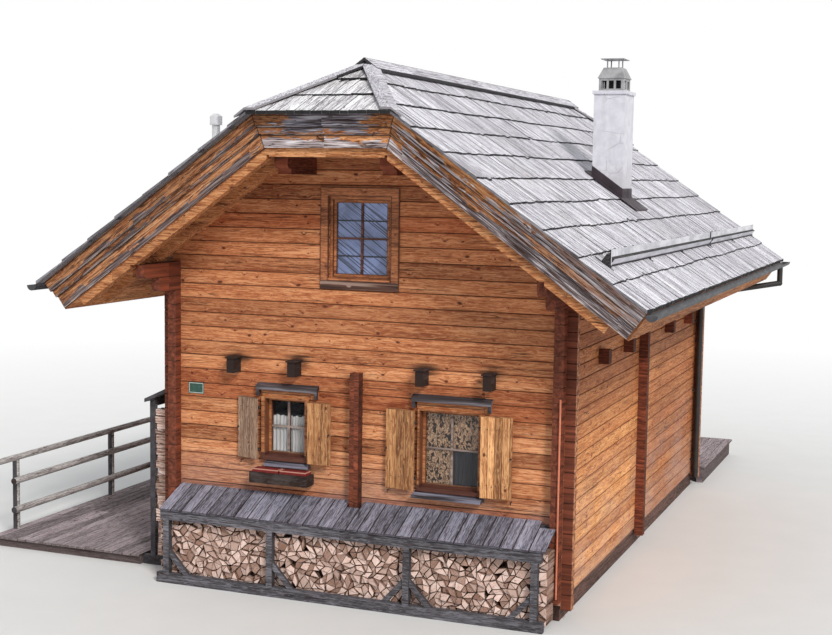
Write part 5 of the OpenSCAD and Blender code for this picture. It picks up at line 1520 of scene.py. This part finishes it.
class CHALET_OT_deck(bpy.types.Operator):
    """Boards the side deck and the rear platform, and finishes the railing"""

    bl_idname = "chalet.deck"
    bl_label = "Deck and Railing"

    def execute(self, context):
        boards = tones("store", "deck")
        # side=0.8 paints shade on the planks' upright sides
        planks = board_finish("deck_planks", *boards, 0.25, 1.0, 0.7, end=boards[1:], side=0.8)
        self.floor("deck", planks, "deck_boards", 61)
        self.floor("rear_platform", planks, "platform_boards", 62, PLATFORM_EDGE)
        poles = ((0.62, 0.6, 0.59), (0.4, 0.37, 0.36), (0.12, 0.1, 0.095))
        ends = tones("store", "frame")[1:]
        dress(solid_finish("railing_poles", "Y", *poles, step=5.0, base=0.0, spread=0.3, end=ends), "railing")
        return {"FINISHED"}

    def floor(self, node, finish, name, seed, edge=None):
        """Boards along Y over bearers; a floor that starts at an edge has a step board before it."""
        low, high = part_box(node)
        board, thick = settings("store").deck_board, 0.032
        pile = Pile(seed)
        uniform = pile.chance.uniform
        middle = high.z - thick / 2
        step_y = low.y + 0.075
        if edge:
            low.y = edge
        x = low.x
        for w in widths(pile.chance, high.x - low.x, board * 0.9, board * 1.1):
            joint = low.y + (high.y - low.y) * pile.chance.choice((0.35, 0.5, 0.65))
            foot = low.y + uniform(0.0, 0.008)
            centre = x + w / 2
            for a, b in ((foot, joint - 0.002), (joint + 0.002, high.y - uniform(0.0, 0.008))):
                pile.bar(Vector((centre, a, middle)), Vector((centre, b, middle)), X, w - 0.006, thick, 0.003)
            x += w
        tall = high.z - thick - low.z - 0.001
        centre = low.z + tall / 2
        if edge:
            for k in range(4):
                x = low.x + 0.11 + k * (high.x - low.x - 0.22) / 3
                a, b = Vector((x, low.y + 0.02, centre)), Vector((x, high.y - 0.02, centre))
                pile.bar(a, b, Z, tall, 0.12, 0.004, tone=0.9)
            pile.bar(Vector((-0.45, step_y, middle)), Vector((0.45, step_y, middle)), Y, 0.145, thick, 0.003)
        else:
            for k in range(5):
                y = low.y + 0.1 + k * (high.y - low.y - 0.2) / 4
                a, b = Vector((low.x + 0.02, y, centre)), Vector((high.x - 0.02, y, centre))
                pile.bar(a, b, Z, tall, 0.1, 0.004, tone=0.9)
        pile.piece(name, finish, "deck_wood", node)


# Stage


class CHALET_OT_stage(bpy.types.Operator):
    """Sets up the pale floor, the soft light and the camera"""

    bl_idname = "chalet.stage"
    bl_label = "Stage"

    def execute(self, context):
        stage = settings("stage")
        scene = context.scene
        self.floor(stage)
        lamp = bpy.data.lights.new("key_light", "SUN")
        lamp.energy = stage.sun
        lamp.angle = math.radians(14)
        lamp.color = (1.0, 0.975, 0.94)
        sun = bpy.data.objects.new("key_light", lamp)
        towards_light = Vector((0.6, -0.58, 0.58))
        sun.rotation_euler = towards_light.to_track_quat("Z", "Y").to_euler()
        scene.collection.objects.link(sun)
        self.sky(scene, stage)
        lens = bpy.data.cameras.new("camera")
        lens.lens = stage.lens
        lens.sensor_width = 36.0
        lens.clip_end = 300.0
        camera = bpy.data.objects.new("camera", lens)
        turn = Matrix.Rotation(stage.azimuth, 4, "Z") @ Matrix.Rotation(math.pi / 2 - stage.fall, 4, "X")
        turn = turn @ Matrix.Rotation(stage.roll, 4, "Z")
        camera.matrix_world = Matrix.Translation(stage.camera_place) @ turn
        scene.collection.objects.link(camera)
        scene.camera = camera
        scene.view_settings.view_transform = "Standard"
        return {"FINISHED"}

    def floor(self, stage):
        """A round floor that fades into the white background."""
        rings = (6.0, 12.0, 24.0, 60.0, 140.0)
        turns, level = 64, -0.001
        around = [2 * math.pi * k / turns for k in range(turns)]
        points = [Vector((0, 0, level))]
        for radius in rings:
            points += [Vector((radius * math.cos(t), radius * math.sin(t), level)) for t in around]
        faces = [(0, 1 + k, 1 + (k + 1) % turns) for k in range(turns)]
        for ring in range(len(rings) - 1):
            first = 1 + ring * turns
            for k in range(turns):
                j = (k + 1) % turns
                faces.append((first + k, first + turns + k, first + turns + j, first + j))
        fin = Finish("studio_floor")
        place, _ = fin.coordinates()
        reach = fin.distance(place)
        mottle = fin.noise(place, 1.5, 4.0)
        colour = fin.mix(fin.rise(mottle, 0.3, 0.7), times(stage.floor, 0.97), stage.floor)
        surface = fin.out("ShaderNodeBsdfPrincipled", {"Base Color": colour, "Roughness": 0.9})
        glow = fin.out("ShaderNodeEmission", {"Color": (1.0, 1.0, 1.0), "Strength": 1.0})
        far = fin.rise(reach, 9.0, 26.0) * fin.seen()
        both = fin.out("ShaderNodeMixShader", {0: far, 1: surface, 2: glow})
        fin.node("ShaderNodeOutputMaterial", {0: both})
        floor = new_object("studio_floor", points, faces, fin.made)

    def sky(self, scene, stage):
        """Even light from all round; white where the camera looks past the chalet."""
        fin = Finish("studio", "worlds")
        fill = fin.out("ShaderNodeBackground", {"Color": (0.93, 0.965, 1.0), "Strength": stage.sky})
        white = fin.out("ShaderNodeBackground", {"Color": (1.0, 1.0, 1.0)})
        both = fin.out("ShaderNodeMixShader", {0: fin.seen(), 1: fill, 2: white})
        fin.node("ShaderNodeOutputWorld", {0: both})
        scene.world = fin.made


class CHALET_PT_panel(bpy.types.Panel):
    """Lists the chalet's pieces and settings in the sidebar"""

    bl_idname = "CHALET_PT_panel"
    bl_label = "Chalet"
    bl_space_type = "VIEW_3D"
    bl_region_type = "UI"
    bl_category = "Chalet"

    def draw(self, context):
        for group in GROUPS:
            part = self.layout.box()
            owner = settings(group)
            part.label(text=group.title())
            for name in owner.__annotations__:
                part.prop(owner, name)
        for operator in OPERATORS:
            self.layout.operator(operator.bl_idname)


GROUPS = {
    "wood": ChaletWoodSettings,
    "roof": ChaletRoofSettings,
    "window": ChaletWindowSettings,
    "store": ChaletStoreSettings,
    "stage": ChaletStageSettings,
}
OPERATORS = (
    CHALET_OT_log_walls, CHALET_OT_roof_boards, CHALET_OT_roof_edges, CHALET_OT_roof_metal,
    CHALET_OT_windows, CHALET_OT_shutters, CHALET_OT_flower_box, CHALET_OT_front_store,
    CHALET_OT_side_store, CHALET_OT_deck, CHALET_OT_stage,
)


def register():
    """Adds the chalet's settings, operators and panel to Blender."""
    for made in (*GROUPS.values(), *OPERATORS, CHALET_PT_panel):
        bpy.utils.register_class(made)
    for name, group in GROUPS.items():
        setattr(bpy.types.Scene, "chalet_" + name, PointerProperty(type=group))


def unregister():
    """Takes them out again."""
    for name in GROUPS:
        delattr(bpy.types.Scene, "chalet_" + name)
    for made in reversed((*GROUPS.values(), *OPERATORS, CHALET_PT_panel)):
        bpy.utils.unregister_class(made)


def main():
    """Dresses the whole chalet."""
    register()
    bpy.ops.chalet.log_walls()
    bpy.ops.chalet.roof_boards()
    bpy.ops.chalet.roof_edges()
    bpy.ops.chalet.roof_metal()
    bpy.ops.chalet.windows()
    bpy.ops.chalet.shutters()
    bpy.ops.chalet.flower_box()
    bpy.ops.chalet.front_store()
    bpy.ops.chalet.side_store()
    bpy.ops.chalet.deck()
    bpy.ops.chalet.stage()


if __name__ == "__main__":
    main()
